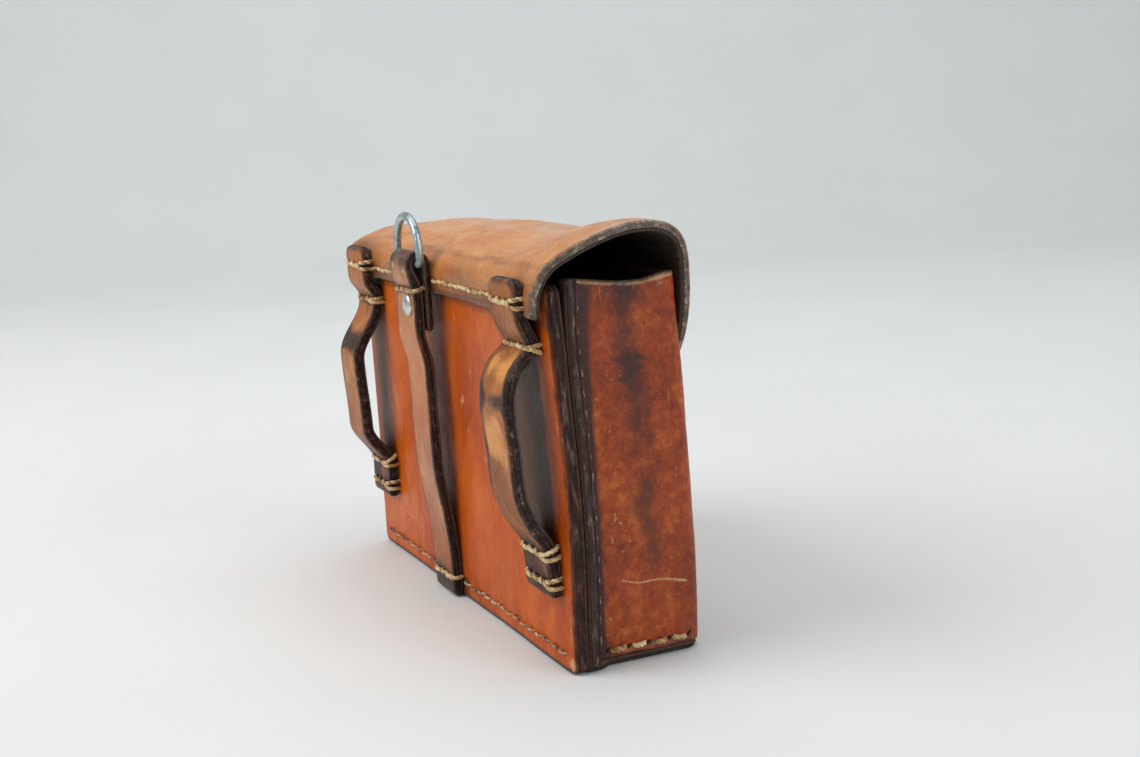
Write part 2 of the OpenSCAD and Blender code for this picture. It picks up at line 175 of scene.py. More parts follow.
class Line:
    """A line in a plane, read by its length, and straight on past its ends."""

    def __init__(self, pieces):
        p = np.vstack([np.atleast_2d(q) for q in pieces])
        keep = np.r_[True, np.linalg.norm(np.diff(p, axis=0), axis=1) > 1e-4]
        self.p = p[keep]
        self.s = np.r_[0, np.cumsum(np.linalg.norm(np.diff(self.p, axis=0), axis=1))]
        self.length = self.s[-1]

    def at(self, s):
        s = np.asarray(s, float)
        c = np.clip(s, 0, self.length)
        out = np.stack([np.interp(c, self.s, self.p[:, k]) for k in range(2)], -1)
        first = self.p[1] - self.p[0]
        last = self.p[-1] - self.p[-2]
        out = out + np.minimum(s, 0)[..., None] * first / np.linalg.norm(first)
        return out + np.maximum(s - self.length, 0)[..., None] * last / np.linalg.norm(last)

    def length_at(self, column, value):
        """The first length at which that coordinate passes the value."""
        v = self.p[:, column] - value
        i = np.nonzero(v[:-1] * v[1:] <= 0)[0][0]
        return self.s[i] + (self.s[i + 1] - self.s[i]) * abs(v[i]) / max(abs(v[i]) + abs(v[i + 1]), 1e-9)


def along(a, b, step, fine=(0, 0.12, 0.3, 0.55, 0.9, 1.5)):
    """Numbers from a to b, close together at both ends."""
    ends = np.array([f for f in fine if f < (b - a) / 2 - step / 3])
    inner = np.linspace(a + ends[-1], b - ends[-1], max(2, int(round((b - a - 2 * ends[-1]) / step)) + 1))
    return np.r_[a + ends[:-1], inner, (b - ends[:-1])[::-1]]


# ---------------------------------------------------------------- the case is hand made and worn


def settle(p):
    """How the case has settled: its back hollows and flares, its front leans in, its ends bow."""
    q = np.array(p, float)
    x, y, z = q[..., 0].copy(), q[..., 1].copy(), q[..., 2].copy()
    near = smooth(4, -66, x)
    back = smooth(5, 11, y)
    front = smooth(6, -15, y)
    q[..., 1] += back * (
        near * 1.4 * smooth(50, 92, z) - (0.25 + 0.55 * near) * hump(z, 33, 22) + 0.3 * near * hump(z, 0, 9)
    )
    away = smooth(14, 64, np.abs(x))
    q[..., 1] += front * away * (1.6 * smooth(62, 106, z) - 1.1 * hump(z, 22, 30) + 0.5 * smooth(4, 0, z))
    q[..., 1] += back * 0.14 * np.sin(0.085 * x + 0.05 * z + 1.0)
    bow = smooth(58, 72, np.abs(x)) * smooth(9.5, 3, y) * smooth(-21, -13, y)
    q[..., 0] += np.sign(x) * bow * 0.75 * np.sin(np.pi * np.clip(z / 100, 0, 1)) ** 0.8
    return q


# ---------------------------------------------------------------- leather sheets


def edge_distance(flat, outline):
    """Distance of each flat point to the closed outline."""
    a = outline
    b = np.roll(outline, -1, axis=0)
    d = b - a
    n = np.maximum((d * d).sum(1), 1e-12)
    best = np.full(len(flat), 1e9)
    for i in range(0, len(flat), 4000):
        q = flat[i : i + 4000, None, :]
        t = np.clip(((q - a) * d).sum(2) / n, 0, 1)
        best[i : i + 4000] = np.linalg.norm(q - (a + t[..., None] * d), axis=2).min(1)
    return best


EDGE_STEPS = 3


class Leather:
    """A sheet of leather: a flat grid of (s, w) in mm, and a function that lays it in space."""

    def __init__(
        self, name, grid, place, thick, flip=1, edge_r=0.8, dents=(), rough=0.1, seed=1, burnish=0.12
    ):
        self.name, self.grid, self.place_at, self.flip = name, np.array(grid, float), place, flip
        self.thick = thick if callable(thick) else (lambda s, w: np.full(np.shape(s), float(thick)))
        self.edge_r, self.dents, self.rough, self.seed, self.burnish = edge_r, dents, rough, seed, burnish

    def normal(self, s, w):
        e = 0.06
        ds = self.place_at(s + e, w) - self.place_at(s - e, w)
        dw = self.place_at(s, w + e) - self.place_at(s, w - e)
        n = np.cross(ds, dw) * self.flip
        return n / np.maximum(np.linalg.norm(n, axis=-1, keepdims=True), 1e-9)

    def point(self, s, w, lift=0.0):
        """A point over the grain face."""
        s, w = np.asarray(s, float), np.asarray(w, float)
        half = self.thick(s, w) / 2
        return self.place_at(s, w) + self.normal(s, w) * (half + lift)[..., None]

    def build(self, paint=None):
        g = self.grid
        rows, cols = g.shape[:2]
        ring = [(0, c) for c in range(cols)] + [(r, cols - 1) for r in range(1, rows)]
        ring += [(rows - 1, c) for c in range(cols - 2, -1, -1)] + [(r, 0) for r in range(rows - 2, 0, -1)]
        outline = np.array([g[r, c] for r, c in ring])
        s, w = g[..., 0], g[..., 1]
        rim = edge_distance(g.reshape(-1, 2), outline).reshape(rows, cols)
        mid = self.place_at(s, w)
        nor = self.normal(s, w)
        t = self.thick(s, w)
        r = np.minimum(self.edge_r, t * 0.45)
        inside = np.clip(r - rim, 0, r)
        half = t / 2 - r + np.sqrt(np.maximum(r * r - inside * inside, 0))
        top = half.copy()
        for a, b, depth, size in self.dents:
            a, b = np.array(a, float), np.array(b, float)
            d = b - a
            q = g.reshape(-1, 2) - a
            u = np.clip((q @ d) / max(d @ d, 1e-9), 0, 1)
            dist = np.linalg.norm(q - u[:, None] * d, axis=1).reshape(rows, cols)
            top -= depth * np.exp(-((dist / size) ** 2))
        fade = smooth(0, 1.5, rim)
        top += fade * self.rough * (wobble(mid, 9, self.seed) + 0.5 * wobble(mid, 3.2, self.seed + 3))
        outer = mid + nor * top[..., None]
        inner = mid - nor * half[..., None]
        verts = [outer.reshape(-1, 3), inner.reshape(-1, 3)]
        count = rows * cols
        index = np.arange(count).reshape(rows, cols)
        faces = []

        def add(quads, outwards=True):
            faces.extend((quads if outwards == (self.flip > 0) else quads[:, ::-1]).tolist())

        def band(before, after):
            add(np.stack([before, np.roll(before, -1), np.roll(after, -1), after], -1), False)

        quads = np.stack(
            [index[:-1, :-1], index[1:, :-1], index[1:, 1:], index[:-1, 1:]], -1
        ).reshape(-1, 4)
        add(quads)
        add(quads + count, False)
        # the edge: from the grain face to the flesh face in three steps, slightly rounded and rough
        ring_i = np.array([index[q] for q in ring])
        go = np.array([outer[q] for q in ring])
        gi = np.array([inner[q] for q in ring])
        side = np.cross(np.roll(go + gi, -1, 0) - np.roll(go + gi, 1, 0), go - gi)
        side /= np.maximum(np.linalg.norm(side, axis=1, keepdims=True), 1e-9)
        edge = mid.reshape(-1, 3)[ring_i]
        centre = (np.roll(edge, -1, 0) + np.roll(edge, 1, 0)) / 2
        sample = np.array([mid[min(max(q[0], 1), rows - 2), min(max(q[1], 1), cols - 2)] for q in ring])
        side *= np.sign(((centre - sample) * side).sum(1, keepdims=True) + 1e-12)
        before = ring_i
        for k in range(1, EDGE_STEPS + 1):
            f = k / (EDGE_STEPS + 1)
            base = go + (gi - go) * f
            push = self.burnish * math.sin(math.pi * f) + 0.09 * wobble(base, 1.7, self.seed + k)
            start = sum(len(v) for v in verts)
            verts.append(base + side * push[:, None])
            after = np.arange(start, start + len(ring))
            band(before, after)
            before = after
        band(before, ring_i + count)
        v = np.vstack(verts)
        extra = len(v) - 2 * count
        flat = np.vstack([g.reshape(-1, 2), g.reshape(-1, 2)] + [outline] * EDGE_STEPS)
        rims = np.r_[rim.ravel(), rim.ravel(), np.zeros(extra)]
        flesh = np.r_[np.zeros(count), np.ones(count), np.full(extra, 0.5)]
        grime = pale = np.zeros(len(v))
        if paint:
            grime, pale = (np.clip(q, 0, 1) for q in paint(v, flat[:, 0], flat[:, 1]))
        o = mesh_of(self.name, v, faces)
        put(o, "rim", rims)
        put(o, "flesh", flesh)
        put(o, "grime", np.broadcast_to(grime, len(v)))
        put(o, "pale", np.broadcast_to(pale, len(v)))
        return o


def put_rest(mesh, verts):
    """Keeps where each point lies at rest, so that the looks do not swim when a piece moves."""
    rest = mesh.attributes.new("rest", "FLOAT_VECTOR", "POINT")
    rest.data.foreach_set("vector", (np.asarray(verts, float) / 1000).astype(np.float32).ravel())


def mesh_of(name, verts, faces):
    m = bpy.data.meshes.new(name)
    m.from_pydata((np.asarray(verts, float) / 1000).tolist(), [], [list(map(int, f)) for f in faces])
    m.update()
    m.shade_smooth()
    o = bpy.data.objects.new(name, m)
    bpy.context.scene.collection.objects.link(o)
    put_rest(m, verts)
    return o


def put(o, name, values):
    a = o.data.attributes.get(name) or o.data.attributes.new(name, "FLOAT", "POINT")
    a.data.foreach_set("value", np.asarray(values, np.float32))


def corner_steps(r):
    """Steps over a rounded corner, closest together at its start."""
    return r * (1 - np.cos(np.linspace(0, math.pi / 2, max(2, int(r * 2.2)) + 1))) if r else np.array([0])


def strap_grid(length, half, r0=0.0, r1=0.0, step_s=1.0, step_w=1.2, s0=0.0, width=None):
    """Grid of a strap of half-width half; r0 and r1 are the corner radii at its two ends."""
    a, b = corner_steps(r0), corner_steps(r1)
    body = along(a[-1], length - b[-1], step_s, (0, 0.15, 0.35, 0.7) if not r0 else (0, 0.6))
    s = np.unique(np.round(np.r_[a, body, length - b], 5))
    w = along(-half, half, step_w)
    rows = []
    for v in s:
        h = half
        for r, d in ((r0, v), (r1, length - v)):
            if r and d < r:
                h = min(h, half - r + math.sqrt(max(r * r - (r - d) ** 2, 0)))
        scale = h / half * (width(s0 + v) if width else 1.0)
        rows.append(np.stack([np.full(len(w), s0 + v), w * scale], -1))
    return np.array(rows)


# ---------------------------------------------------------------- thread


def skin(verts, faces, rings):
    """Adds a closed form through rings that all have the same number of points."""
    base, count = len(verts), len(rings[0])
    for ring in rings:
        verts.extend(ring)
    for i in range(len(rings) - 1):
        for k in range(count):
            a, b = base + i * count + k, base + i * count + (k + 1) % count
            faces.append([a, b, b + count, a + count])
    last = base + (len(rings) - 1) * count
    faces.append([base + k for k in range(count)][::-1])
    faces.append([last + k for k in range(count)])


def tube(verts, faces, path, radius, sides=7):
    """Adds a closed tube along the path."""
    p = np.array(path, float)
    t = np.gradient(p, axis=0)
    t /= np.linalg.norm(t, axis=1, keepdims=True)
    u = np.cross(t[0], [0.3, 0.5, 0.81])
    u /= np.linalg.norm(u)
    turns = [2 * math.pi * k / sides for k in range(sides)]
    rings = []
    for here, ahead, r in zip(p, t, np.broadcast_to(radius, len(p))):
        u = u - ahead * (u @ ahead)
        u /= np.linalg.norm(u)
        v = np.cross(ahead, u)
        rings.append([here + r * (math.cos(a) * u + math.sin(a) * v) for a in turns])
    skin(verts, faces, rings)


class Thread:
    """Stitches of two-ply waxed thread, gathered in one piece; each stitch dips into the leather at its
    ends.
    """

    def __init__(self, name, seed, ply):
        self.name, self.ply, self.rng = name, ply, random.Random(seed)
        self.verts, self.faces, self.fray = [], [], []

    def lay(self, points):
        p = catmull(points, 6)
        s = np.r_[0, np.cumsum(np.linalg.norm(np.diff(p, axis=0), axis=1))]
        n = max(8, int(s[-1] / 0.42))
        q = np.stack([np.interp(np.linspace(0, s[-1], n), s, p[:, k]) for k in range(3)], -1)
        length = np.linspace(0, s[-1], n)
        t = np.gradient(q, axis=0)
        t /= np.linalg.norm(t, axis=1, keepdims=True)
        u = np.cross(t, [0.21, 0.47, 0.86])
        u /= np.linalg.norm(u, axis=1, keepdims=True)
        v = np.cross(t, u)
        phase = self.rng.uniform(0, 6.28)
        for k in (0, 1):
            a = length / 2.3 * 2 * math.pi + phase + k * math.pi
            off = self.ply * 0.62 * (np.cos(a)[:, None] * u + np.sin(a)[:, None] * v)
            size = self.ply * (1 + 0.06 * np.sin(length * 3 + phase))
            start = len(self.verts)
            tube(self.verts, self.faces, q + off, size)
            self.fray += [self.rng.uniform(0, 1)] * (len(self.verts) - start)

    def through(self, sheet, points):
        """Thread through points (s, w, height over the grain face) of a leather sheet."""
        self.lay([sheet.point(*q) for q in points])

    def over(self, sheet, a, b, lift, dip=1.1, bulge=0.12):
        """One stitch over a leather sheet, from hole a to hole b in its flat coordinates."""
        a, b = np.array(a, float), np.array(b, float)
        low, shoulder = -0.25, lift * 0.8
        rise = (
            (0, -dip), (0.03, low), (0.16, shoulder), (0.5, lift + bulge), (0.84, shoulder), (0.97, low),
            (1, -dip),
        )
        self.through(sheet, [(*(a + (b - a) * f), h) for f, h in rise])

    def build(self, material, body, *nodes):
        o = mesh_of(self.name, self.verts, self.faces)
        put(o, "fray", self.fray)
        dress(o, material, body, "linen_thread", *nodes)


# ---------------------------------------------------------------- metal turned or stamped forms


def stadium(half_len, radius, inset, count=56):
    """Outline of a bar with round ends, moved in by inset, as (a, b) points."""
    r = max(radius - inset, 0.02)
    pts = []
    for k in range(count):
        a = 2 * math.pi * k / count
        c = half_len if math.cos(a) > 1e-9 else -half_len if math.cos(a) < -1e-9 else 0
        pts.append((c + r * math.cos(a), r * math.sin(a)))
    return pts


def stamped(verts, faces, half_len, radius, profile, to_space, count=56):
    """Adds a closed form from outlines: profile is a list of (inset, height)."""
    rings = [
        [to_space(a, b, h) for a, b in stadium(half_len, radius, inset, count)] for inset, h in profile
    ]
    skin(verts, faces, rings)


def facing(x, y, z, depth=1.0, upright=False, side=1):
    """Lays an outline in the X-Z plane round (x, y, z) and heights along Y; upright stands it on end."""

    def to_space(a, b, h):
        across, up = (b, a) if upright else (side * a, b)
        return np.array([x + across, y + depth * h, z + up])

    return to_space


def fitting(name, look, body, slot_name, node, parts, inside_out=False):
    """One metal piece made of stamped forms."""
    verts, faces = [], []
    for part in parts:
        stamped(verts, faces, *part)
    dress(
        mesh_of(name, verts, [f[::-1] for f in faces] if inside_out else faces), look, body, slot_name, node
    )


# ---------------------------------------------------------------- materials


def srgb(r, g, b):
    lin = [v / 255 / 12.92 if v / 255 <= 0.04045 else ((v / 255 + 0.055) / 1.055) ** 2.4 for v in (r, g, b)]
    return (*lin, 1.0)


def tinted(colour, gain, lift=0):
    return [min(255, v * gain + lift) for v in colour]


def maths(operation, swapped=False):
    def combine(self, other):
        pair = (other, self) if swapped else (self, other)
        return self.look.math(operation, *pair)

    return combine


class Value:
    """What a shader node gives out. Sums, differences and products of values become Math nodes."""

    def __init__(self, look, socket):
        self.look, self.socket = look, socket

    __add__ = maths("ADD")
    __radd__ = maths("ADD", True)
    __sub__ = maths("SUBTRACT")
    __rsub__ = maths("SUBTRACT", True)
    __mul__ = maths("MULTIPLY")

    def __abs__(self):
        return self.look.math("ABSOLUTE", self)

    def clamped(self):
        self.socket.node.use_clamp = True
        return self


class Look:
    """Short-hand for building one procedural material. Colours are given as 0 to 255."""

    def __init__(self, name):
        self.mat = bpy.data.materials.new(name)
        self.mat.use_nodes = True
        self.nt = self.mat.node_tree
        self.nt.nodes.clear()
        out = self.nt.nodes.new("ShaderNodeOutputMaterial")
        self.bsdf = self.nt.nodes.new("ShaderNodeBsdfPrincipled")
        self.nt.links.new(self.bsdf.outputs[0], out.inputs["Surface"])

    def set(self, socket, value):
        if isinstance(value, Value):
            self.nt.links.new(value.socket, socket)
        else:
            socket.default_value = value

    def node(self, kind, **inputs):
        n = self.nt.nodes.new("ShaderNode" + kind)
        for key, value in inputs.items():
            self.set(n.inputs[key.replace("_", " ")], value)
        return n

    def attr(self, name, out="Fac"):
        n = self.node("Attribute")
        n.attribute_name = name
        return Value(self, n.outputs[out])

    def place(self, scale=(1, 1, 1), shift=(0, 0, 0), turn=(0, 0, 0)):
        rest = self.attr("rest", "Vector")
        n = self.node("Mapping", Vector=rest, Scale=scale, Location=shift, Rotation=turn)
        return Value(self, n.outputs[0])

    def noise(self, vec, scale, detail=4.0, rough=0.55, warp=0.0):
        n = self.node("TexNoise", Vector=vec, Scale=scale, Detail=detail, Roughness=rough, Distortion=warp)
        return Value(self, n.outputs["Fac"])

    def cells(self, vec, scale, smoothness):
        n = self.node("TexVoronoi", Vector=vec, Scale=scale)
        n.feature = "SMOOTH_F1"
        n.inputs["Smoothness"].default_value = smoothness
        return Value(self, n.outputs["Distance"])

    def span(self, v, a, b, c=0.0, d=1.0):
        """Runs smoothly from c to d while v runs from a to b."""
        n = self.node("MapRange", Value=v, From_Min=a, From_Max=b, To_Min=c, To_Max=d)
        n.interpolation_type = "SMOOTHSTEP"
        return Value(self, n.outputs["Result"])

    def math(self, operation, *values):
        n = self.node("Math")
        n.operation = operation
        for socket, value in zip(n.inputs, values):
            self.set(socket, value)
        return Value(self, n.outputs[0])

    def mix(self, f, a, b):
        n = self.node("Mix")
        n.data_type = "RGBA"
        for i, value in ((0, f), (6, a), (7, b if isinstance(b, Value) else srgb(*b))):
            self.set(n.inputs[i], value)
        return Value(self, n.outputs[2])

    def ramp(self, f, stops):
        n = self.node("ValToRGB", Fac=f)
        e = n.color_ramp.elements
        while len(e) < len(stops):
            e.new(0.5)
        for k, (pos, colour) in enumerate(stops):
            e[k].position = pos
            e[k].color = srgb(*colour)
        return Value(self, n.outputs[0])

    def bump(self, height, strength, distance):
        return Value(
            self, self.node("Bump", Strength=strength, Distance=distance, Height=height).outputs[0]
        )

    def finish(self, colour, rough, **inputs):
        for key, value in dict(inputs, Base_Color=colour, Roughness=rough).items():
            self.set(self.bsdf.inputs[key.replace("_", " ")], value)
        return self.mat


def leather_look(
    name, light, mid, deep, stain_and_shade, edge, flesh, seed, mottle=1.0, streak=(1, 1, 1), gloss=0.42, speck=0.3,
    grain=1.0, scuff=0.4, pale=(214, 170, 120), edge_width=1.3, fibre=(1, 1, 1), fleck=0.16, shine=0.4,
    crack=0.0,
):
    """Vegetable-tanned harness leather: mottled grain face, burnished dark edges, rough flesh side."""
    k = Look(name)
    p = k.place(streak, (seed, seed * 0.7, seed * 1.3))
    q = k.place((1, 1, 1), (seed * 2.1, seed, 0.3))
    broad = k.noise(p, 26, 3, 0.55, 0.4)
    patches = k.noise(p, 95, 6, 0.62, 0.8)
    fine = k.noise(q, 420, 5, 0.65)
    pores = k.cells(q, 900, 0.5)
    tone = broad * 0.55 + patches * 0.45 + (fine - 0.5) * fleck
    colour = k.ramp(tone, [(0.34, light), (0.49, mid), (0.66, deep)])
    # dark stains where the maker's and wearer's hands left them, and painted shade beside the straps and
    # loops, under the flap's edge and beside the end seams, all in the one darkening attribute
    grime = k.attr("grime")
    cloud = k.noise(p, 60, 7, 0.68, 1.2)
    dirt_and_shade = k.span(grime * 1.25 + (cloud - 0.5) * (1.3 * mottle), 0.18, 0.95)
    colour = k.mix(dirt_and_shade, colour, stain_and_shade)
    pits = k.span(k.noise(q, 300, 3, 0.6, 0.6), 0.60, 0.72) * (grime * 0.5 + 0.30 * mottle)
    colour = k.mix(pits * 0.8, colour, stain_and_shade)
    # old bends leave short dark cracks
    creases = abs(k.noise(p, 120, 4, 0.6, 1.0) - 0.5)
    cracks = k.span(creases, 0.004, 0.014, crack, 0.0) * k.span(k.noise(q, 34, 2, 0.5), 0.47, 0.60)
    colour = k.mix(cracks, colour, stain_and_shade)
    # pale rubbed places and painted sheen, specks and scratches
    rubbed_and_sheen = k.attr("pale")
    worn_and_sheen = k.span(rubbed_and_sheen + (k.noise(p, 150, 6, 0.7, 0.6) - 0.5) * 1.1, 0.5, 0.95)
    colour = k.mix(worn_and_sheen * 0.72, colour, pale)
    flecks = (k.span(k.noise(q, 560, 4, 0.7, 0.3), 0.60, 0.74) * (rubbed_and_sheen + speck * 0.35)).clamped()
    colour = k.mix(flecks, colour, pale)
    s1 = k.noise(k.place((0.10, 1, 1), (seed, 0, 2), (0.2, 0.35, 0.4)), 700, 2, 0.5, 0.2)
    s2 = k.noise(k.place((1, 1, 0.08), (2, seed, 0), (0.15, 0.3, 0)), 620, 2, 0.5, 0.3)
    gate = k.span(k.noise(q, 45, 2, 0.5), 0.52, 0.68)
    lines = (k.span(s1, 0.665, 0.70) + k.span(s2, 0.675, 0.71)).clamped()
    lines = lines * gate * k.span(dirt_and_shade, 0, 1, scuff, scuff * 0.15)
    colour = k.mix(lines, colour, pale)
    # edges burnished dark, broken up, with pale fibre flecks
    uneven = k.attr("rim") + (k.noise(q, 230, 5, 0.65) - 0.5) * (edge_width * 1.7)
    dark = k.span(uneven, 0.05, edge_width, 1.0, 0.0)
    side = k.attr("flesh")
    on_edge = k.span(1.0 - abs(side * 2.0 - 1.0), 0.3, 0.8)
    strands = k.noise(k.place(fibre, (seed, 2, 1)), 520, 6, 0.72, 0.5)
    edge_tone = k.ramp(
        strands,
        [(0.36, tinted(edge, 0.55)), (0.52, edge), (0.61, tinted(edge, 1.5, 12)), (0.70, (164, 138, 116))],
    )
    colour = k.mix(dark * 0.85, colour, edge_tone)
    colour = k.mix(on_edge, colour, edge_tone)
    # flesh side
    nap = k.noise(q, 700, 6, 0.75)
    is_flesh = k.span(side, 0.8, 0.98)
    inner = k.ramp(nap, [(0.35, tinted(flesh, 0.72)), (0.55, flesh), (0.7, tinted(flesh, 1.2))])
    colour = k.mix(is_flesh, colour, inner)
    # gloss
    rough = gloss + (patches - 0.5) * 0.35 + dirt_and_shade * 0.06 + (flecks + lines) * 0.18 + on_edge * 0.22
    rough = (rough + is_flesh * 0.45).clamped()
    # relief
    h = pores * (0.55 * grain) + fine * 0.5 + k.span(creases, 0.0, 0.03) * (0.35 * grain)
    h = h - lines * 0.6 - pits * 0.5 + nap * (is_flesh + on_edge) * 2.2
    relief = k.bump(h + patches * 1.2, 0.55, 0.00035)
    coat = 0.15 * shine
    return k.finish(
        colour, rough, Normal=relief, Specular_IOR_Level=shine, Coat_Weight=coat, Coat_Roughness=0.3
    )


def thread_look(name, low, mid, high, top, soil):
    k = Look(name)
    q = k.place((1, 1, 1), (0.4, 0.1, 0.7))
    tone = k.noise(q, 260, 4, 0.6) + (k.attr("fray") - 0.5) * 0.35
    colour = k.ramp(tone, [(0.3, low), (0.45, mid), (0.62, high), (0.8, top)])
    colour = k.mix(k.span(k.noise(q, 900, 4, 0.7), 0.56, 0.72) * soil, colour, (104, 68, 40))
    fibres = k.bump(k.noise(k.place(), 2600, 3, 0.6), 0.6, 0.0002)
    return k.finish(colour, 0.62, Normal=fibres, Sheen_Weight=0.25, Sheen_Roughness=0.5)


def metal_look(name, light, dark, spots, rough, seed, tarnish, metal):
    k = Look(name)
    q = k.place((1, 1, 1), (seed, seed * 2, 1))
    tone = k.noise(q, 150, 5, 0.6) * 0.6 + k.noise(q, 900, 4, 0.6) * 0.4
    spot = k.span(k.noise(q, 420, 6, 0.7, 0.4), 0.54, 0.68) * tarnish
    colour = k.mix(spot, k.ramp(tone, [(0.38, dark), (0.56, light)]), spots)
    scratches = k.noise(k.place((1, 0.06, 0.3), (seed, 0, 0), (0.3, 0.2, 0.5)), 1800, 2, 0.5)
    dull = (rough + spot * 0.3 + (tone - 0.5) * 0.4).clamped()
    relief = k.bump(scratches * 0.5 + k.noise(q, 700, 5, 0.7), 0.35, 0.0002)
    return k.finish(colour, dull, Normal=relief, Metallic=metal)


def plain_look(name, scale, detail, grain, rough, stops):
    k = Look(name)
    return k.finish(k.ramp(k.noise(k.place(), scale, detail, grain), stops), rough)


# name, light, mid, deep, stain and painted shade, edge, flesh, seed
BACK = leather_look(
    "leather_back", (214, 108, 24), (195, 86, 10), (160, 60, 5), (90, 58, 36), (64, 46, 42), (92, 68, 54),
    1.1, mottle=0.35, streak=(1, 1, 0.55), gloss=0.36, speck=0.12, grain=0.6, scuff=0.35,
    fibre=(1.4, 1.4, 0.28), shine=0.14,
)
WRAP = leather_look(
    "leather_wrap", (192, 98, 30), (158, 62, 14), (112, 40, 12), (70, 34, 30), (62, 45, 42), (84, 60, 48),
    2.3, mottle=0.7, streak=(1, 1, 0.7), gloss=0.40, speck=0.6, grain=1.4, scuff=0.6,
    fibre=(1.4, 1.4, 0.28), fleck=0.55, shine=0.34,
)
# the flap's pale colour is mostly the grey-pink of its painted sheen on the crown
FLAP = leather_look(
    "leather_flap", (218, 160, 98), (206, 134, 66), (176, 100, 40), (112, 62, 34), (112, 98, 86),
    (70, 56, 48), 3.7, mottle=0.6, streak=(0.35, 1, 1), gloss=0.36, speck=0.45, grain=0.9, scuff=0.8,
    edge_width=1.0, pale=(198, 168, 148), fleck=0.24, crack=0.2,
)
STRAP = leather_look(
    "leather_strap", (208, 148, 100), (188, 114, 60), (152, 78, 28), (56, 34, 28), (46, 32, 29),
    (110, 88, 74), 4.6, mottle=0.5, streak=(1, 1, 0.4), gloss=0.34, grain=0.8, scuff=0.7, edge_width=1.8,
    shine=0.25,
)
LOOP = leather_look(
    "leather_loop", (202, 132, 66), (168, 99, 42), (122, 66, 28), (60, 36, 28), (56, 42, 38), (88, 84, 82),
    5.2, mottle=0.7, pale=(232, 160, 84), streak=(1, 1, 0.5), gloss=0.40, speck=0.5, grain=0.9, scuff=0.7,
    edge_width=2.0, shine=0.17,
)
# near-black: the sole's own dark edge leather, darkened further as painted shade of the band under the walls
SOLE = leather_look(
    "leather_edge", (70, 48, 40), (46, 31, 27), (30, 21, 19), (20, 15, 14), (34, 25, 22), (96, 74, 60), 6.4,
    mottle=0.6, gloss=0.5, speck=0.9,
)
LINEN = thread_look("linen_thread", (136, 96, 54), (200, 162, 106), (228, 204, 154), (240, 222, 182), 0.55)
SEAM = thread_look("seam_thread", (92, 66, 46), (140, 112, 82), (190, 168, 134), (214, 198, 164), 0.9)
# name, light, dark, spots, roughness, seed, tarnish, metal
STEEL = metal_look("steel", (186, 202, 206), (128, 142, 148), (92, 88, 80), 0.34, 1.0, 0.35, 0.85)
RIVET = metal_look("rivet_steel", (222, 224, 220), (170, 174, 172), (110, 104, 92), 0.26, 2.0, 0.3, 0.9)
BRASS = metal_look("brass", (196, 164, 92), (140, 108, 56), (74, 58, 36), 0.32, 3.0, 0.6, 0.9)
# painted shade: the near-black inside of the awl holes
HOLE_SHADE = plain_look("awl_hole", 900, 3, 0.55, 0.9, [(0.4, (24, 14, 10)), (0.65, (52, 32, 24))])


def dress(o, material, body, slot_name, *nodes):
    o.data.materials.append(material)
    if body:
        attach(o, body)
    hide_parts(*nodes)


# ---------------------------------------------------------------- back panel

PANEL_R = 3.0


def panel_place(s, w):
    """s is the height over the floor, w the place along the case."""
    x, z = w, s
    y = BACK_Y - PANEL_T / 2 + 0.7 * smooth(-70, -78, x) * smooth(84, 100, z)
    y = y - 0.5 * smooth(-73, -78.5, x) * smooth(14, 0, z)
    return settle(np.stack([x, y, z], -1))


def panel_grid():
    top = PANEL_HI[2]
    rows_s = np.r_[
        PANEL_R * (1 - np.cos(np.linspace(0, math.pi / 2, 7))), along(PANEL_R, top, 1.6, (0, 0.7))[1:]
    ]
    rows_s = np.r_[rows_s[:-1], top - 0.8, top - 0.35, top - 0.12, top]
    w = along(-HALF, HALF, 1.35)
    rows = []
    for z in np.unique(np.round(rows_s, 4)):
        h = HALF
        if z < PANEL_R:
            h = HALF - PANEL_R + math.sqrt(max(PANEL_R**2 - (PANEL_R - z) ** 2, 0))
        x = w * h / HALF
        lift = smooth(-62, -75, x) * 1.4 * smooth(80, top, z)
        corner = smooth(-75.5, -78, x) * 1.3 * smooth(90, top, z)
        rows.append(np.stack([z + lift - corner, x], -1))
    return np.array(rows)


def row_between(x0, x1, pitch=PITCH):
    n = max(1, int(round((x1 - x0) / pitch)))
    step = (x1 - x0) / n
    middles = [x0 + (i + 0.5) * step for i in range(n)]
    return [(x - step * STITCH_REACH, x + step * STITCH_REACH) for x in middles]


def jitter(rng, amount):
    return rng.uniform(-amount, amount)


rng = random.Random(7)
half_strap = (STRAP_HI[0] - STRAP_LO[0]) / 2
beside = row_between(-HALF + 4.5, STRAP_X - half_strap - 0.8, 5.2)
beside += row_between(STRAP_X + half_strap + 0.8, HALF - 4.5, 5.2)
low_row = [(a, b, PANEL_ROW + jitter(rng, 0.25), jitter(rng, 0.3)) for a, b in beside]


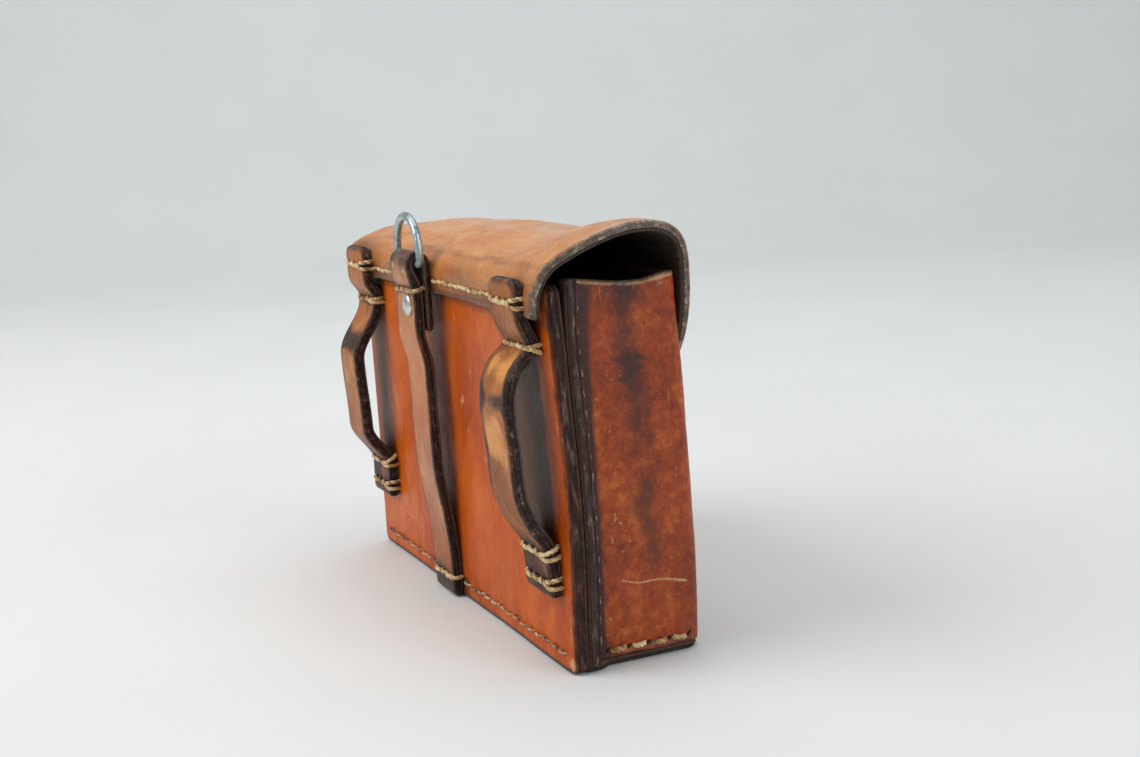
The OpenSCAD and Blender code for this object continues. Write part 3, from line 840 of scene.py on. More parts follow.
def panel_paint(v, s, w):
    x, z = w, s
    grime = 0.55 * hump(x, -78.4, 1.2) + 0.30 * hump(z, 0, 3.2)
    grime += 0.75 * smooth(9, 0, np.abs(x - STRAP_X) - half_strap) * smooth(26, 4, z) * 0.5
    # painted shade on the panel along both sides of the centre strap, where it stands off the panel
    grime += 0.40 * np.exp(-np.abs(np.abs(x - STRAP_X) - half_strap) / 1.6)
    # painted shadow under the flap's lower edge; a dark line along the bottom stitch row; darker along the
    # bottom edge
    grime += 0.45 * hump(z, 90.5, 2.2) + 0.30 * hump(z, PANEL_ROW, 0.9) + 1.1 * smooth(1.7, 0.5, z)
    # painted shade on the panel along each belt loop's sides, and painted shade behind each loop's bulge
    for cx in (NEAR_X, FAR_X):
        near_edge = np.abs(np.abs(x - cx) - 8.75)
        grime += (
            0.35 * np.exp(-near_edge / 1.2) * smooth(14, 19, z)
            * (0.5 + 0.5 * smooth(40, 30, z) + 0.5 * smooth(75, 84, z))
        )
        shade_behind_loop = smooth(-7.5, -3.0, x - cx) * smooth(22.0, 12.0, x - cx) if cx < 0 else hump(x, cx, 8) * 0.6
        grime += 1.15 * shade_behind_loop * smooth(31, 37, z) * smooth(86, 78, z) * (0.8 + 0.25 * wobble(v, 7, 12))
    # a pale line along the near edge: partly rubbed wear, partly a painted edge highlight
    pale = 0.90 * hump(x, -76.1, 1.2) * (0.7 + 0.6 * wobble(v, 3, 13))
    pale += 0.4 * hump(z, 2.6, 1.2) * smooth(-50, -78, x)
    for cx, cz in ((-6.5, 85), (-9, 62), (-7, 60.5), (-11, 53), (-8, 35), (-24, 47), (-17, 71)):
        pale += 1.0 * hump(x, cx, 1.3) * hump(z, cz, 1.7)
    return grime, pale


panel_dents = [((z, a), (z + t, b), 0.32, 0.9) for a, b, z, t in low_row]
panel_dents.append(((PANEL_ROW, 3.0 - HALF), (PANEL_ROW, HALF - 3.0), 0.22, 0.7))
panel = Leather(
    "back_panel_leather", panel_grid(), panel_place, PANEL_T, flip=1, edge_r=1.0, seed=2, rough=0.10,
    dents=panel_dents,
)
dress(panel.build(panel_paint), BACK, "case", "leather_back", "back_panel")

# ---------------------------------------------------------------- one-piece front and ends

mid_x = WALL_X - WALL_T / 2
mid_y = FRONT_Y + WALL_T / 2
flange_y = WRAP_HI[1] - WALL_T / 2 - 0.15
bend = 2.0
corner = CORNER_R - WALL_T / 2


def arc_pts(cx, cy, r, a0, a1, n=14):
    a = np.radians(np.linspace(a0, a1, n))
    return np.stack([cx + r * np.cos(a), cy + r * np.sin(a)], -1)


half_plan = [
    [(-HALF, flange_y)],
    arc_pts(-mid_x - bend, flange_y - bend, bend, 90, 0),
    arc_pts(-mid_x + corner, mid_y + corner, corner, 180, 270),
]
plan_line = Line(half_plan + [np.array(q, float)[::-1] * [-1, 1] for q in half_plan[::-1]])
s_bend = plan_line.length_at(1, flange_y - bend - 0.01)


def both_ends(a, b):
    """A stretch of the wrap at its near end, and the same at its far end."""
    return (a, b), (plan_line.length - a, plan_line.length - b)


def wrap_place(s, w):
    xy = plan_line.at(s)
    z = w
    p = settle(np.stack([xy[..., 0], xy[..., 1], z], -1))
    flange = (
        smooth(s_bend - 1.2, s_bend - 3.5, s)
        + smooth(plan_line.length - s_bend + 1.2, plan_line.length - s_bend + 3.5, s)
    )
    p[..., 1] -= 0.5 * flange * smooth(86, 100, z) * (xy[..., 0] < 0)
    wall = smooth(s_bend, s_bend + 5, s) * smooth(s_bend + 30, s_bend + 22, s)
    p[..., 0] += wall * 0.22 * np.sin(0.16 * z + 0.25 * xy[..., 1])
    return p


def wrap_top(s):
    y = plan_line.at(s)[..., 1]
    end = (
        smooth(s_bend + 34, s_bend + 24, s)
        + smooth(plan_line.length - s_bend - 34, plan_line.length - s_bend - 24, s)
    )
    sag = np.interp(y, [-17, -14, -10, -4, 1, 6, 10], [0.4, -0.3, -1.1, -0.9, -0.4, 0.4, 1.2])
    return WALL_H + end * sag - 0.2


def wrap_low(s):
    edge = np.minimum(s, plan_line.length - s)
    return SOLE_T - 0.1 - 0.3 * smooth(s_bend - 1.4, 0, edge) + 0.15 * np.sin(0.5 * edge)


def wrap_grid():
    total = plan_line.length
    dense = along(0, s_bend + 32, 0.85, (0, 0.15, 0.4, 0.8))
    dense = dense[: np.searchsorted(dense, s_bend + 31)]
    middle = np.linspace(dense[-1] + 1, total - dense[-1] - 1, 70)
    s = np.r_[dense, middle, (total - dense)[::-1]]
    u = along(0, 97, 1.25, (0, 0.12, 0.3, 0.55, 0.9))
    fine = np.r_[np.arange(15, 23.4, 0.4), np.arange(68.4, 82, 0.45)]
    u = np.unique(np.round(np.r_[u[(u < 14.5) | (u > 23.5)], fine], 4)) / 97
    lo, hi = wrap_low(s), wrap_top(s)
    return np.stack(
        [np.broadcast_to(s[:, None], (len(s), len(u))), lo[:, None] + (hi - lo)[:, None] * u[None, :]], -1
    )


hole_y = (6.3, 0.4, -4.9, -10.6, -16.2)
holes = [plan_line.length_at(1, y) for y in hole_y]
end_row = [(a + 1.25, b - 1.15) for a, b in zip(holes[:-1], holes[1:])]
s_front0 = plan_line.length_at(0, -WALL_X + CORNER_R + 2.5)
front_row = row_between(s_front0, plan_line.length - s_front0)
wrap_dents = []
for a, b in end_row:
    for c, d in both_ends(a, b):
        wrap_dents.append(((c, END_ROW), (d, END_ROW - 0.1), 0.35, 0.9))
for a in holes:
    for c in (a, plan_line.length - a):
        wrap_dents.append(((c - 0.25, END_ROW - 0.5), (c + 0.25, END_ROW + 0.5), 0.75, 0.6))
wrap_dents += [((a, END_ROW), (b, END_ROW), 0.35, 0.9) for a, b in front_row]


def wrap_paint(v, s, w):
    near = s < plan_line.length / 2
    t = np.where(near, s, plan_line.length - s)
    y = plan_line.at(s)[..., 1]
    z = w
    n1 = wobble(v, 14, 21)
    n2 = wobble(v, 5, 22)
    grime = 0.85 * smooth(s_bend + 0.9, s_bend - 0.4, t)
    # the dark, much handled middle of the end wall
    centre = -5.2 - 1.3 * np.sin(z * 0.045) + 1.5 * n1
    grime += (0.58 + 0.20 * n1 + 0.18 * n2) * hump(y, centre, 5.2) * smooth(6, 34, z) * (t > s_bend)
    # painted shadow of the turned-out flange on the end wall, in the channel beside the seam
    grime += (
        1.0 * smooth(s_bend + 1.9, s_bend + 0.5, t + 0.6 * n2) + 0.3 * smooth(s_bend + 5.5, s_bend + 1.5, t)
    )
    grime += 0.30 * smooth(88, 99, z) * smooth(s_bend, s_bend + 3, t)
    # painted shade in the channel between the flange and the end wall
    grime += 0.55 * hump(t, s_bend + 1.2, 1.4) * (0.7 + 0.5 * n2)
    grime += 0.35 * smooth(11, 3, z) * smooth(s_bend, s_bend + 4, t)
    across = smooth(s_bend + 2, s_bend + 5, t)
    for level, slope, y0, y1 in ((79.2, 0.07, 6, -17), (75.8, -0.32, 7, -8)):
        line = level + slope * (y + 5) + 0.5 * np.sin(0.7 * y)
        grime += 0.24 * hump(z, line, 0.6) * smooth(y0 + 1, y0 - 2, y) * smooth(y1 - 2, y1 + 2, y) * across
    grime -= (
        0.3 * hump(y, -16, 4) * (t > s_bend) + 0.2 * smooth(26, 12, z) * smooth(s_bend + 3, s_bend + 5, t)
    )
    pale = 0.42 * hump(y, -14.5, 4.5) * (0.55 + 0.6 * n1) * smooth(4, 20, z) * (t > s_bend)
    curve = 20.8 + 2.4 * smooth(-4.0, 5.5, y) - 2.0 * smooth(-7, -18, y)
    pale += 1.05 * hump(z, curve, 0.38) * smooth(4.5, 1, y) * smooth(-18, -14, y)
    pale += 1.1 * smooth(1.9, 0.3, wrap_top(s) - z) * (t > s_bend)
    pale += 0.5 * smooth(4.0, 2.7, z) * (t > s_bend + 3) * (0.7 + 0.5 * n2)
    pale += 0.45 * smooth(s_bend - 0.5, s_bend - 2.5, t) * (0.5 + 0.5 * np.sin(z * 1.17))
    return grime, pale


wrap = Leather(
    "body_wrap_leather", wrap_grid(), wrap_place, WALL_T, flip=1, edge_r=0.7, seed=5, rough=0.13,
    dents=wrap_dents,
)
dress(wrap.build(wrap_paint), WRAP, "case", "leather_wrap", "body_wrap")

# ---------------------------------------------------------------- sole and its turned-up inner rim

SOLE_X, SOLE_Y0, SOLE_Y1 = SOLE_HI[0] - 0.3, SOLE_LO[1] + 0.5, SOLE_HI[1]
SOLE_R = CORNER_R - 0.5
SOLE_THICK = SOLE_T - 0.1


def sole_place(s, w):
    x = s * (1 + 0.026 * smooth(5.5, 9.5, w))
    return settle(np.stack([x, w, np.full(np.shape(x), SOLE_THICK / 2)], -1))


def sole_grid():
    a = SOLE_R * (1 - np.cos(np.linspace(0, math.pi / 2, 10)))
    s = np.r_[-SOLE_X + a, np.linspace(-SOLE_X + SOLE_R + 2, SOLE_X - SOLE_R - 2, 60), (SOLE_X - a)[::-1]]
    w = along(SOLE_Y0, SOLE_Y1, 1.4)
    rows = []
    for v in s:
        d = SOLE_X - abs(v)
        low = SOLE_Y0
        if d < SOLE_R:
            low = SOLE_Y0 + SOLE_R - math.sqrt(max(SOLE_R**2 - (SOLE_R - d) ** 2, 0))
        rows.append(
            np.stack([np.full(len(w), v), low + (w - SOLE_Y0) * (SOLE_Y1 - low) / (SOLE_Y1 - SOLE_Y0)], -1)
        )
    return np.array(rows)


sole = Leather(
    "sole_leather", sole_grid(), sole_place, SOLE_THICK, flip=-1, edge_r=0.9, seed=8, rough=0.12,
    burnish=0.2,
)
dress(
    sole.build(lambda v, s, w: (np.full(len(v), 0.3), 0.5 * hump(v[:, 2], 0, 1.0))), SOLE, "case",
    "leather_edge", "bottom_panel",
)

RIM_T = 2.6
RIM_TOP = SOLE_HI[2]
rim_x = WALL_X - WALL_T - RIM_T / 2
rim_y = FRONT_Y + WALL_T + RIM_T / 2
rim_back = PANEL_LO[1] - RIM_T / 2
rim_r = 2.6
rim_line = Line([
    [(0, rim_back)],
    arc_pts(-rim_x + rim_r, rim_back - rim_r, rim_r, 90, 180, 8),
    arc_pts(-rim_x + rim_r, rim_y + rim_r, rim_r, 180, 270, 8),
    arc_pts(rim_x - rim_r, rim_y + rim_r, rim_r, 270, 360, 8),
    arc_pts(rim_x - rim_r, rim_back - rim_r, rim_r, 0, 90, 8),
    [(0.4, rim_back)],
])


def rim_place(s, w):
    xy = rim_line.at(s)
    return settle(np.stack([xy[..., 0], xy[..., 1], w], -1))


rim_s = along(0, rim_line.length, 2.2, (0, 0.4))
rim_w = along(SOLE_THICK - 0.2, RIM_TOP, 1.2, (0, 0.15, 0.4))
rim_grid = np.stack(np.meshgrid(rim_s, rim_w, indexing="ij"), -1)
rim = Leather("sole_rim_leather", rim_grid, rim_place, RIM_T, flip=-1, edge_r=0.6, seed=9)
dress(rim.build(), SOLE, "case", "leather_edge", "bottom_panel")

# ---------------------------------------------------------------- flap, one sheet from its seam to its front

foot_y = BACK_Y + FLAP_T / 2
drop_y = SHELL_LO[1] + FLAP_T / 2
crown = SHELL_HI[2] - FLAP_T / 2
flap_low = SHELL_LO[2]
flap_foot = FOOT_LO[2]
hy, hz = HINGE[1], HINGE[2]
CORNER_FLAP = 26.5


def flap_line(lift, rise, rear):
    """Middle of the flap's leather, from its foot on the back, over the crown, to its front edge."""
    return Line(
        [
            [(foot_y + lift, flap_foot + 0.5 * lift * 0.3)],
            cubic(
                [
                    (foot_y + 0.85 * lift, flap_foot + 6.0),
                    (foot_y + 0.7 * lift, flap_foot + 9.5 + 0.7 * rear),
                    (foot_y - 2.4 + 0.3 * lift, hz - 1.9 + 0.9 * rear), (hy, hz + rear),
                ]
            ),
            cubic([(hy, hz + rear), (hy - 5, hz + 2.1 + rear), (-1.5, crown + rise), (-7, crown + rise)]),
            cubic(
                [
                    (-7, crown + rise), (-15.5, crown + rise), (drop_y, WALL_H + 7.5 + rise * 0.7),
                    (drop_y, WALL_H - 1),
                ]
            ), [(drop_y, flap_low)],
        ]
    )


line_mid = flap_line(0, -0.5, -0.2)
line_lift = flap_line(3.0, -0.5, -0.2)
line_rise = flap_line(0, 3.7, 3.3)
line_sink = flap_line(0, -3.7, -0.8)
FLAP_LEN = line_mid.length


def flap_place(s, w):
    x = w
    u = s / FLAP_LEN
    mid = line_mid.at(s)
    lift = smooth(-64, -79.6, x) ** 1.2 + 0.85 * smooth(66, 79.6, x)
    rise = smooth(-36, -74, x)
    sink = 0.28 * smooth(10, 45, x) + 0.72 * smooth(48, 79, x)
    yz = mid.copy()
    for line, k in ((line_lift, lift), (line_rise, rise), (line_sink, sink)):
        yz += (line.at(u * line.length) - mid) * k[..., None]
    f = smooth(0.18, 0.34, u) * smooth(0.72, 0.5, u)
    z = yz[..., 1] + f * (0.3 * hump(x, 0, 20) - 0.25 * hump(x, 30, 14))
    # the leather lies a little proud over the panel's flare, and tight on the front at both ends
    y = (
        yz[..., 0] + smooth(0.2, 0.0, u) * (1.35 * smooth(4, -66, x))
        + 0.2 * np.sin(x * 0.11) * smooth(0.05, 0.0, u)
    )
    y = (
        y + 0.9 * smooth(20, 66, np.abs(x)) * smooth(0.55, 0.68, u)
        + 0.12 * np.sin(x * 0.06 + 1) * smooth(0.8, 1.0, u)
    )
    return np.stack([x, y, z], -1)


def flap_grid():
    s_corner = FLAP_LEN - CORNER_FLAP
    s_taper = (line_mid.length_at(0, -7.0), FLAP_LEN - 31)
    body = along(0, s_corner, 1.3, (0, 0.12, 0.3, 0.55, 0.9))[:-4]
    a = CORNER_FLAP * (1 - np.cos(np.linspace(math.pi / 2, 0, 34)))
    s = np.unique(np.round(np.r_[body[body < s_corner - 0.6], FLAP_LEN - a, FLAP_LEN - 0.12], 4))
    w = along(-FLAP_HALF, FLAP_HALF, 1.5)
    rows = []
    for v in s:
        d = FLAP_LEN - v
        h = FLAP_HALF - 4.9 * float(smooth(*s_taper, v))
        if d < CORNER_FLAP:
            h -= CORNER_FLAP - math.sqrt(max(CORNER_FLAP**2 - (CORNER_FLAP - d) ** 2, 0))
        skew = 0.35 * (w / FLAP_HALF) ** 2 * smooth(3, 0, v)
        rows.append(np.stack([v + skew, w * h / FLAP_HALF], -1))
    return np.array(rows)


def flap_s(z):
    """Length along the flap of a height on its back."""
    return z - flap_foot


near_half = (NEAR_HI[0] - NEAR_LO[0]) / 2
beside = row_between(NEAR_HI[0] + 0.6, STRAP_LO[0] - 0.8, 5.0)
beside += row_between(STRAP_HI[0] + 0.8, FAR_LO[0] - 0.6, 5.0)
seam_row = [(a, b, FLAP_ROW + jitter(rng, 0.25), jitter(rng, 0.35)) for a, b in beside]
flap_dents = [((flap_s(z), a), (flap_s(z + t), b), 0.40, 1.0) for a, b, z, t in seam_row]


def flap_paint(v, s, w):
    x = w
    u = s / FLAP_LEN
    n1 = wobble(v, 18, 31)
    n2 = wobble(v * [0.35, 1, 1], 6, 32)
    grime = (0.52 + 0.25 * n2) * smooth(0.20, 0.02, u)
    grime += 0.60 * hump(s, flap_s(103.6) + 0.8 * n1, 1.0) * (0.6 + 0.6 * n1) * smooth(60, -10, x)
    # painted shade on the flap's foot along both sides of the centre strap
    grime += 0.35 * np.exp(-np.abs(np.abs(x - STRAP_X) - half_strap) / 2.0) * smooth(0.16, 0.1, u)
    grime += 0.35 * hump(s, 0, 1.6)
    grime += 0.35 * smooth(0.6, 1.0, u) * (0.6 + 0.5 * n1)
    grime += 0.25 * hump(x, 72, 14)
    # painted grey-pink sheen across the crown
    pale = (0.66 + 0.35 * n2) * smooth(0.20, 0.36, u) * smooth(0.66, 0.52, u)
    pale += 0.5 * hump(x, -FLAP_HALF, 2.0)
    return grime, pale


flap = Leather(
    "flap_leather", flap_grid(), flap_place, FLAP_T, flip=1, edge_r=0.9, seed=11, rough=0.14,
    dents=flap_dents, burnish=0.18,
)
o = flap.build(flap_paint)
dress(o, FLAP, None, "leather_flap", "flap_seam_strip", "flap_shell")
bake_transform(o)

# ---------------------------------------------------------------- belt loops

LOOP_T = 3.4
LOOP_FOOT, LOOP_TOP = NEAR_LO[2], NEAR_HI[2]
near_bulge = NEAR_HI[1] - LOOP_T / 2 + 0.2
far_bulge = FAR_HI[1] - LOOP_T / 2
near_line = Line(
    [
        catmull(
            [
                (17.6, LOOP_FOOT), (17.9, 24.5), (18.4, 30.2), (19.6, 33.8), (21.9, 37.2), (23.6, 40.6),
                (25.5, 45.2), (26.3, 51), (26.6, 56.4), (27.1, 62.4), (27.6, 68.2), (27.4, 72.2),
                (26.6, 75.9), (24.7, 79.4), (22.0, 81.8), (20.15, 83.6), (20.2, 85.9), (21.5, 88.2),
                (22.7, 91.0), (23.2, 94.2), (23.3, LOOP_TOP),
            ]
        )
    ]
)
base_y = BACK_Y + LOOP_T / 2
pad_y = BACK_Y + FLAP_T + LOOP_T / 2
far_line = Line(
    [
        [(base_y, LOOP_FOOT)], glide(base_y, 29.5, far_bulge - 0.9, 43),
        glide(far_bulge - 0.9, 43, far_bulge, 66), glide(far_bulge, 66, base_y + 0.1, 83.2),
        glide(base_y + 0.1, 85.4, pad_y, 91.6), [(pad_y, LOOP_TOP)],
    ]
)


def near_place(s, w):
    yz = near_line.at(s)
    x = NEAR_X + w
    y = yz[..., 0] - 0.25 * smooth(-9, 9, w) * smooth(84, 90, yz[..., 1])
    return np.stack([x + 0.35 * np.sin(yz[..., 1] * 0.05), y, yz[..., 1]], -1)


def far_place(s, w):
    yz = far_line.at(s)
    return settle(np.stack([FAR_X + w - 0.3 * np.sin(yz[..., 1] * 0.05), yz[..., 0], yz[..., 1]], -1))


def loop_rows(line):
    return [line.length_at(1, z) for z in LOOP_ROWS]


def loop_paint(line, near):
    r = loop_rows(line)

    def paint(v, s, w):
        n1 = wobble(v, 8, 41)
        n2 = wobble(v, 3, 42)
        z = v[:, 2]
        grime = 0.35 + 0.35 * n1
        for q in r:
            grime += 0.35 * hump(s, q, 1.6)
        grime += 0.45 * smooth(near_half - 2.6, near_half, np.abs(w)) * (0.7 + 0.5 * n2)
        grime += 0.28 * smooth(38, 30, z)
        grime -= 0.9 * hump(z, 62, 16) * smooth(8.5, 4, np.abs(w + 1.0)) * (1 if near else 0.6)
        grime = grime - 0.45 * smooth(86, 93, z) + 0.85 * hump(z, 71.0, 3.2)
        pale = (
            (1.5 * hump(z, 61, 7.0) + 1.0 * hump(z, 79.5, 5.0)) * smooth(7.9, 5.0, np.abs(w + 0.4))
            * (0.75 + 0.5 * n1) * (1 if near else 0.4)
        )
        pale += 0.35 * smooth(86, 94, z) + 0.12
        return grime, pale

    return paint


def loop_dents(line):
    return [((q, -7.2), (q, 7.2), 0.38, 0.9) for q in loop_rows(line)]


loops = {}
for name, line, place, node, near in (
    ("near_loop", near_line, near_place, "near_belt_loop", True),
    ("far_loop", far_line, far_place, "far_belt_loop", False),
):
    g = strap_grid(line.length, near_half, 1.2, 3.0, 0.9, 1.0)
    loops[name] = Leather(
        name + "_leather", g, place, LOOP_T, flip=1, edge_r=0.95, seed=14 + near, rough=0.14,
        dents=loop_dents(line), burnish=0.16,
    )
    dress(loops[name].build(loop_paint(line, near)), LOOP, "case", "leather_loop", node)

# ---------------------------------------------------------------- hanging strap, folded round the ring's bar

STRAP_T, TAIL_T = 3.0, 2.0
RING_R = 1.2
bar_y, bar_z = RING_BAR[1], RING_BAR[2]
tail_y = BACK_Y + FLAP_T + TAIL_T / 2
fold_r = bar_y - tail_y
top_y = tail_y + TAIL_T / 2 + 0.6 + STRAP_T / 2
mid_strap_y = BACK_Y + 3.6 + STRAP_T / 2
low_y = BACK_Y + STRAP_T / 2
rivet_x, rivet_z = (RIVET_LO[0] + RIVET_HI[0]) / 2, (RIVET_LO[2] + RIVET_HI[2]) / 2
strap_line = Line([
    [(tail_y, 80.5)], [(tail_y, bar_z - 0.2)],
    arc_pts(bar_y, bar_z, fold_r, 178, 2, 26),
    glide(bar_y + fold_r, bar_z - 0.7, top_y, 91.8), [(top_y, 80.5)],
    glide(top_y, 80.5, mid_strap_y, 69), glide(mid_strap_y, 44, low_y, 9), [(low_y, STRAP_LO[2])]])
s_fold0 = strap_line.length_at(1, bar_z - 0.4)
s_fold1 = s_fold0 + math.pi * fold_r + 0.8


def strap_place(s, w):
    yz = strap_line.at(s)
    p = np.stack([STRAP_X + w, yz[..., 0], yz[..., 1]], -1)
    q = settle(p)
    k = smooth(84, 70, yz[..., 1])[..., None]
    q = p * (1 - k) + q * k
    q[..., 1] += 0.35 * (w / 8.0) ** 2 * hump(yz[..., 1], 60, 20)
    return q


def strap_thick(s, w):
    return TAIL_T + (STRAP_T - TAIL_T) * smooth(s_fold1 - 0.5, s_fold1 + 6, s)


s_behind = strap_line.s[np.argmax(strap_line.p[:, 1])]
over_top = Line([strap_line.p[strap_line.s >= s_behind]])
strap_rows = [
    s_behind + over_top.length_at(1, STRAP_ROW_HIGH), strap_line.length - (STRAP_ROW_LOW - STRAP_LO[2])
]


def strap_paint(v, s, w):
    z = v[:, 2]
    n1 = wobble(v, 10, 51)
    n2 = wobble(v, 3.5, 52)
    front = s > s_fold1 - 2
    fold = smooth(s_fold0 + 2, s_fold0 + 5, s) * smooth(s_fold1 + 8, s_fold1 + 1, s)
    grime = 0.25 + 0.3 * n1 + (0.6 - 0.2 * fold) * smooth(s_fold1 + 5, s_fold1 - 3, s)
    grime += 0.35 * hump(z, STRAP_ROW_HIGH, 1.8) * front
    grime += 0.6 * smooth(12, 3, z)
    grime += 0.5 * smooth(half_strap - 1.8, half_strap, np.abs(w)) * (0.7 + 0.6 * n2)
    grime -= 0.25 * hump(z, 66, 16)
    # painted sheen on the upper face of the strap
    pale = 0.30 * smooth(95, 70, z) * smooth(20, 50, z) * (0.6 + 0.5 * n1) + 0.1
    # pale patches on the fold round the bar: partly rubbed wear, partly painted sheen
    patchy = np.clip(0.30 + 1.3 * wobble(v, 2.6, 53), 0, 0.9)
    pale += fold * patchy * smooth(half_strap, half_strap - 2, np.abs(w))
    return grime, pale


def strap_width(s):
    """The strap is a little narrower where it folds round the ring's bar."""
    return 1 - 0.035 * float(smooth(s_fold0 - 10, s_fold0 - 3, s) * smooth(s_fold1 + 10, s_fold1 + 4, s))


grid = strap_grid(strap_line.length, half_strap, 1.5, 1.0, 0.9, 1.1, width=strap_width)
strap_dents = [((q, -6.8), (q, 6.8), 0.38, 0.95) for q in strap_rows]
strap = Leather(
    "centre_strap_leather", grid, strap_place, strap_thick, flip=-1, edge_r=0.85, seed=17, rough=0.13,
    dents=strap_dents, burnish=0.16,
)
dress(strap.build(strap_paint), STRAP, "case", "leather_loop", "centre_strap")

# ---------------------------------------------------------------- ring and rivet

leg_x, arch_half, bend_r = 9.9, 9.3, 1.9
ring_top = box_mm("d_ring")[1][2] - RING_R
ring_half = [(0, bar_z), (leg_x - bend_r, bar_z)]
ring_half += [tuple(q) for q in arc_pts(leg_x - bend_r, bar_z + bend_r, bend_r, -70, -6, 5)]
ring_half += [(leg_x - 0.08, bar_z + bend_r + 1.6), (arch_half + 0.25, ring_top - arch_half + 1.2)]
for a in range(12, 91, 13):
    rise = (arch_half - 1.0) * math.sin(math.radians(a))
    ring_half.append((arch_half * math.cos(math.radians(a)), ring_top - arch_half + 1.0 + rise))
outline = ring_half + [(-x, z) for x, z in ring_half[-2::-1]]
dense = catmull([(STRAP_X + x, bar_y, z) for x, z in outline], 8)
dense = dense[np.r_[True, np.linalg.norm(np.diff(dense, axis=0), axis=1) > 0.05]]
verts, faces = [], []
tube(verts, faces, dense, RING_R * (1 + 0.02 * np.sin(np.arange(len(dense)) * 0.7)), 18)
dress(mesh_of("hanging_ring", verts, faces), STEEL, "d_ring", "steel", "d_ring")

rivet_face = RIVET_HI[1]
shank = rivet_face - 1 - RIVET_LO[1]
dome = [
    (0.0, -0.9), (0.0, -0.55), (0.12, -0.3), (0.35, -0.1), (0.7, 0.12), (1.2, 0.32), (1.8, 0.46),
    (2.4, 0.54), (2.9, 0.56),
]
washer = [(0.3, 0), (0.05, 0.1), (0, 0.25), (0, 0.6), (0.12, 0.75), (0.4, 0.8)]
fitting(
    "strap_rivet_head", RIVET, "case", "steel", "strap_rivet",
    [
        (0, 3.2, [(i, h + 0.05) for i, h in dome], facing(rivet_x, rivet_face - 0.5, rivet_z), 40),
        (0, 1.5, [(0, 0), (0, 1)], facing(rivet_x, RIVET_LO[1], rivet_z, shank), 20),
    ], inside_out=True,
)
fitting(
    "strap_rivet_burr", STEEL, "case", "steel", "rivet_burr",
    [(0, 2.8, washer, facing(rivet_x, BURR_LO[1], rivet_z), 36)], inside_out=True,
)

# ---------------------------------------------------------------- closing tab, with its slot

TAB_T = 2.6
tab_half = (TAB_HI[0] - TAB_LO[0]) / 2
tab_out = TAB_HINGE[1]
tab_in = -(abs(WRAP_LO[1]) + 1 + TAB_T / 2)
tab_top, tab_low = ROOT_HI[2], TAB_LO[2]
th = TAB_HINGE[2]
tab_line = Line([[(tab_out, tab_top)], glide(tab_out, th + 1, tab_in, th - 13), [(tab_in, tab_low)]])


def tab_place(s, w):
    yz = tab_line.at(s)
    y = yz[..., 0] + 0.12 * np.sin(yz[..., 1] * 0.15 + 1) * smooth(58, 50, yz[..., 1])
    return np.stack([w, y, yz[..., 1]], -1)


stud_z = STUD_AXIS[2]
SLOT_W, SLOT_PLAY, SLOT_TAIL = 6.2, 0.8, 4.6
stud_len = STUD_HI[2] - STUD_LO[2]
slot_lo = stud_z - stud_len / 2 - SLOT_PLAY - SLOT_TAIL + SLOT_W / 2
slot_hi = stud_z + stud_len / 2 + SLOT_PLAY - SLOT_W / 2


def slot_distance(v):
    """How far outside the slot each point lies."""
    zc = np.clip(v[:, 2], slot_lo, slot_hi)
    return np.hypot(v[:, 0], v[:, 2] - zc) - SLOT_W / 2


def tab_paint(v, s=None, w=None):
    n1 = wobble(v, 7, 61)
    z = v[:, 2]
    grime = (
        0.3 + 0.35 * n1 + 0.4 * hump(z, th, 4) + 0.4 * smooth(2.5, 0, slot_distance(v))
        + 0.3 * smooth(30, 20, z)
    )
    pale = 0.3 + 0.3 * n1 + 0.4 * hump(z, 52, 5)
    return grime, pale


tab_rows = [tab_line.length_at(1, tab_top - 3.0), tab_line.length_at(1, SHELL_LO[2] + 3.0)]
tab_grid = strap_grid(tab_line.length, tab_half, 4.0, tab_half - 0.01, 0.8, 0.8)
tab = Leather("closing_tab_leather", tab_grid, tab_place, TAB_T, flip=1, edge_r=0.7, seed=19, rough=0.1,
    dents=[((q, -8), (q, 8), 0.3, 0.9) for q in tab_rows])
o = tab.build(tab_paint)
# the slot is cut through the sheet, and the cut mesh gets its attributes again
verts, faces = [], []
stamped(
    verts, faces, (slot_hi - slot_lo) / 2, SLOT_W / 2, [(0, -8), (0, 8)],
    facing(0, tab_in, (slot_lo + slot_hi) / 2, upright=True), 64,
)
cutter = mesh_of("slot_cutter", verts, faces)
m = o.modifiers.new("slot", "BOOLEAN")
m.object, m.operation, m.solver = cutter, "DIFFERENCE", "EXACT"
bpy.context.view_layer.update()
made = bpy.data.meshes.new_from_object(o.evaluated_get(bpy.context.evaluated_depsgraph_get()))
o.modifiers.clear()
o.data = made
bpy.data.objects.remove(cutter)
co = np.zeros(len(made.vertices) * 3)
made.vertices.foreach_get("co", co)
co = co.reshape(-1, 3) * 1000
for name in ("rest", "rim", "flesh", "grime", "pale"):
    if made.attributes.get(name):
        made.attributes.remove(made.attributes[name])
put_rest(made, co)
tz = co[:, 2]
end_d = np.hypot(co[:, 0], np.minimum(tz - (tab_low + tab_half), 0))
rim_d = np.minimum(tab_half - end_d, tab_top - tz)
put(o, "rim", np.clip(np.minimum(rim_d, np.abs(slot_distance(co))), 0, 20))
mid_at = np.interp(-tz, -tab_line.p[:, 1], tab_line.p[:, 0])
side_v = (co[:, 1] - mid_at) / (TAB_T / 2)
put(o, "flesh", np.where(np.abs(side_v) < 0.75, 0.5, (side_v > 0) * 1.0))
for name, values in zip(("grime", "pale"), tab_paint(co)):
    put(o, name, np.clip(values, 0, 1))
dress(o, LOOP, None, "leather_loop", "tab_root", "closure_tab")
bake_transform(o)

# ---------------------------------------------------------------- brass turn stud

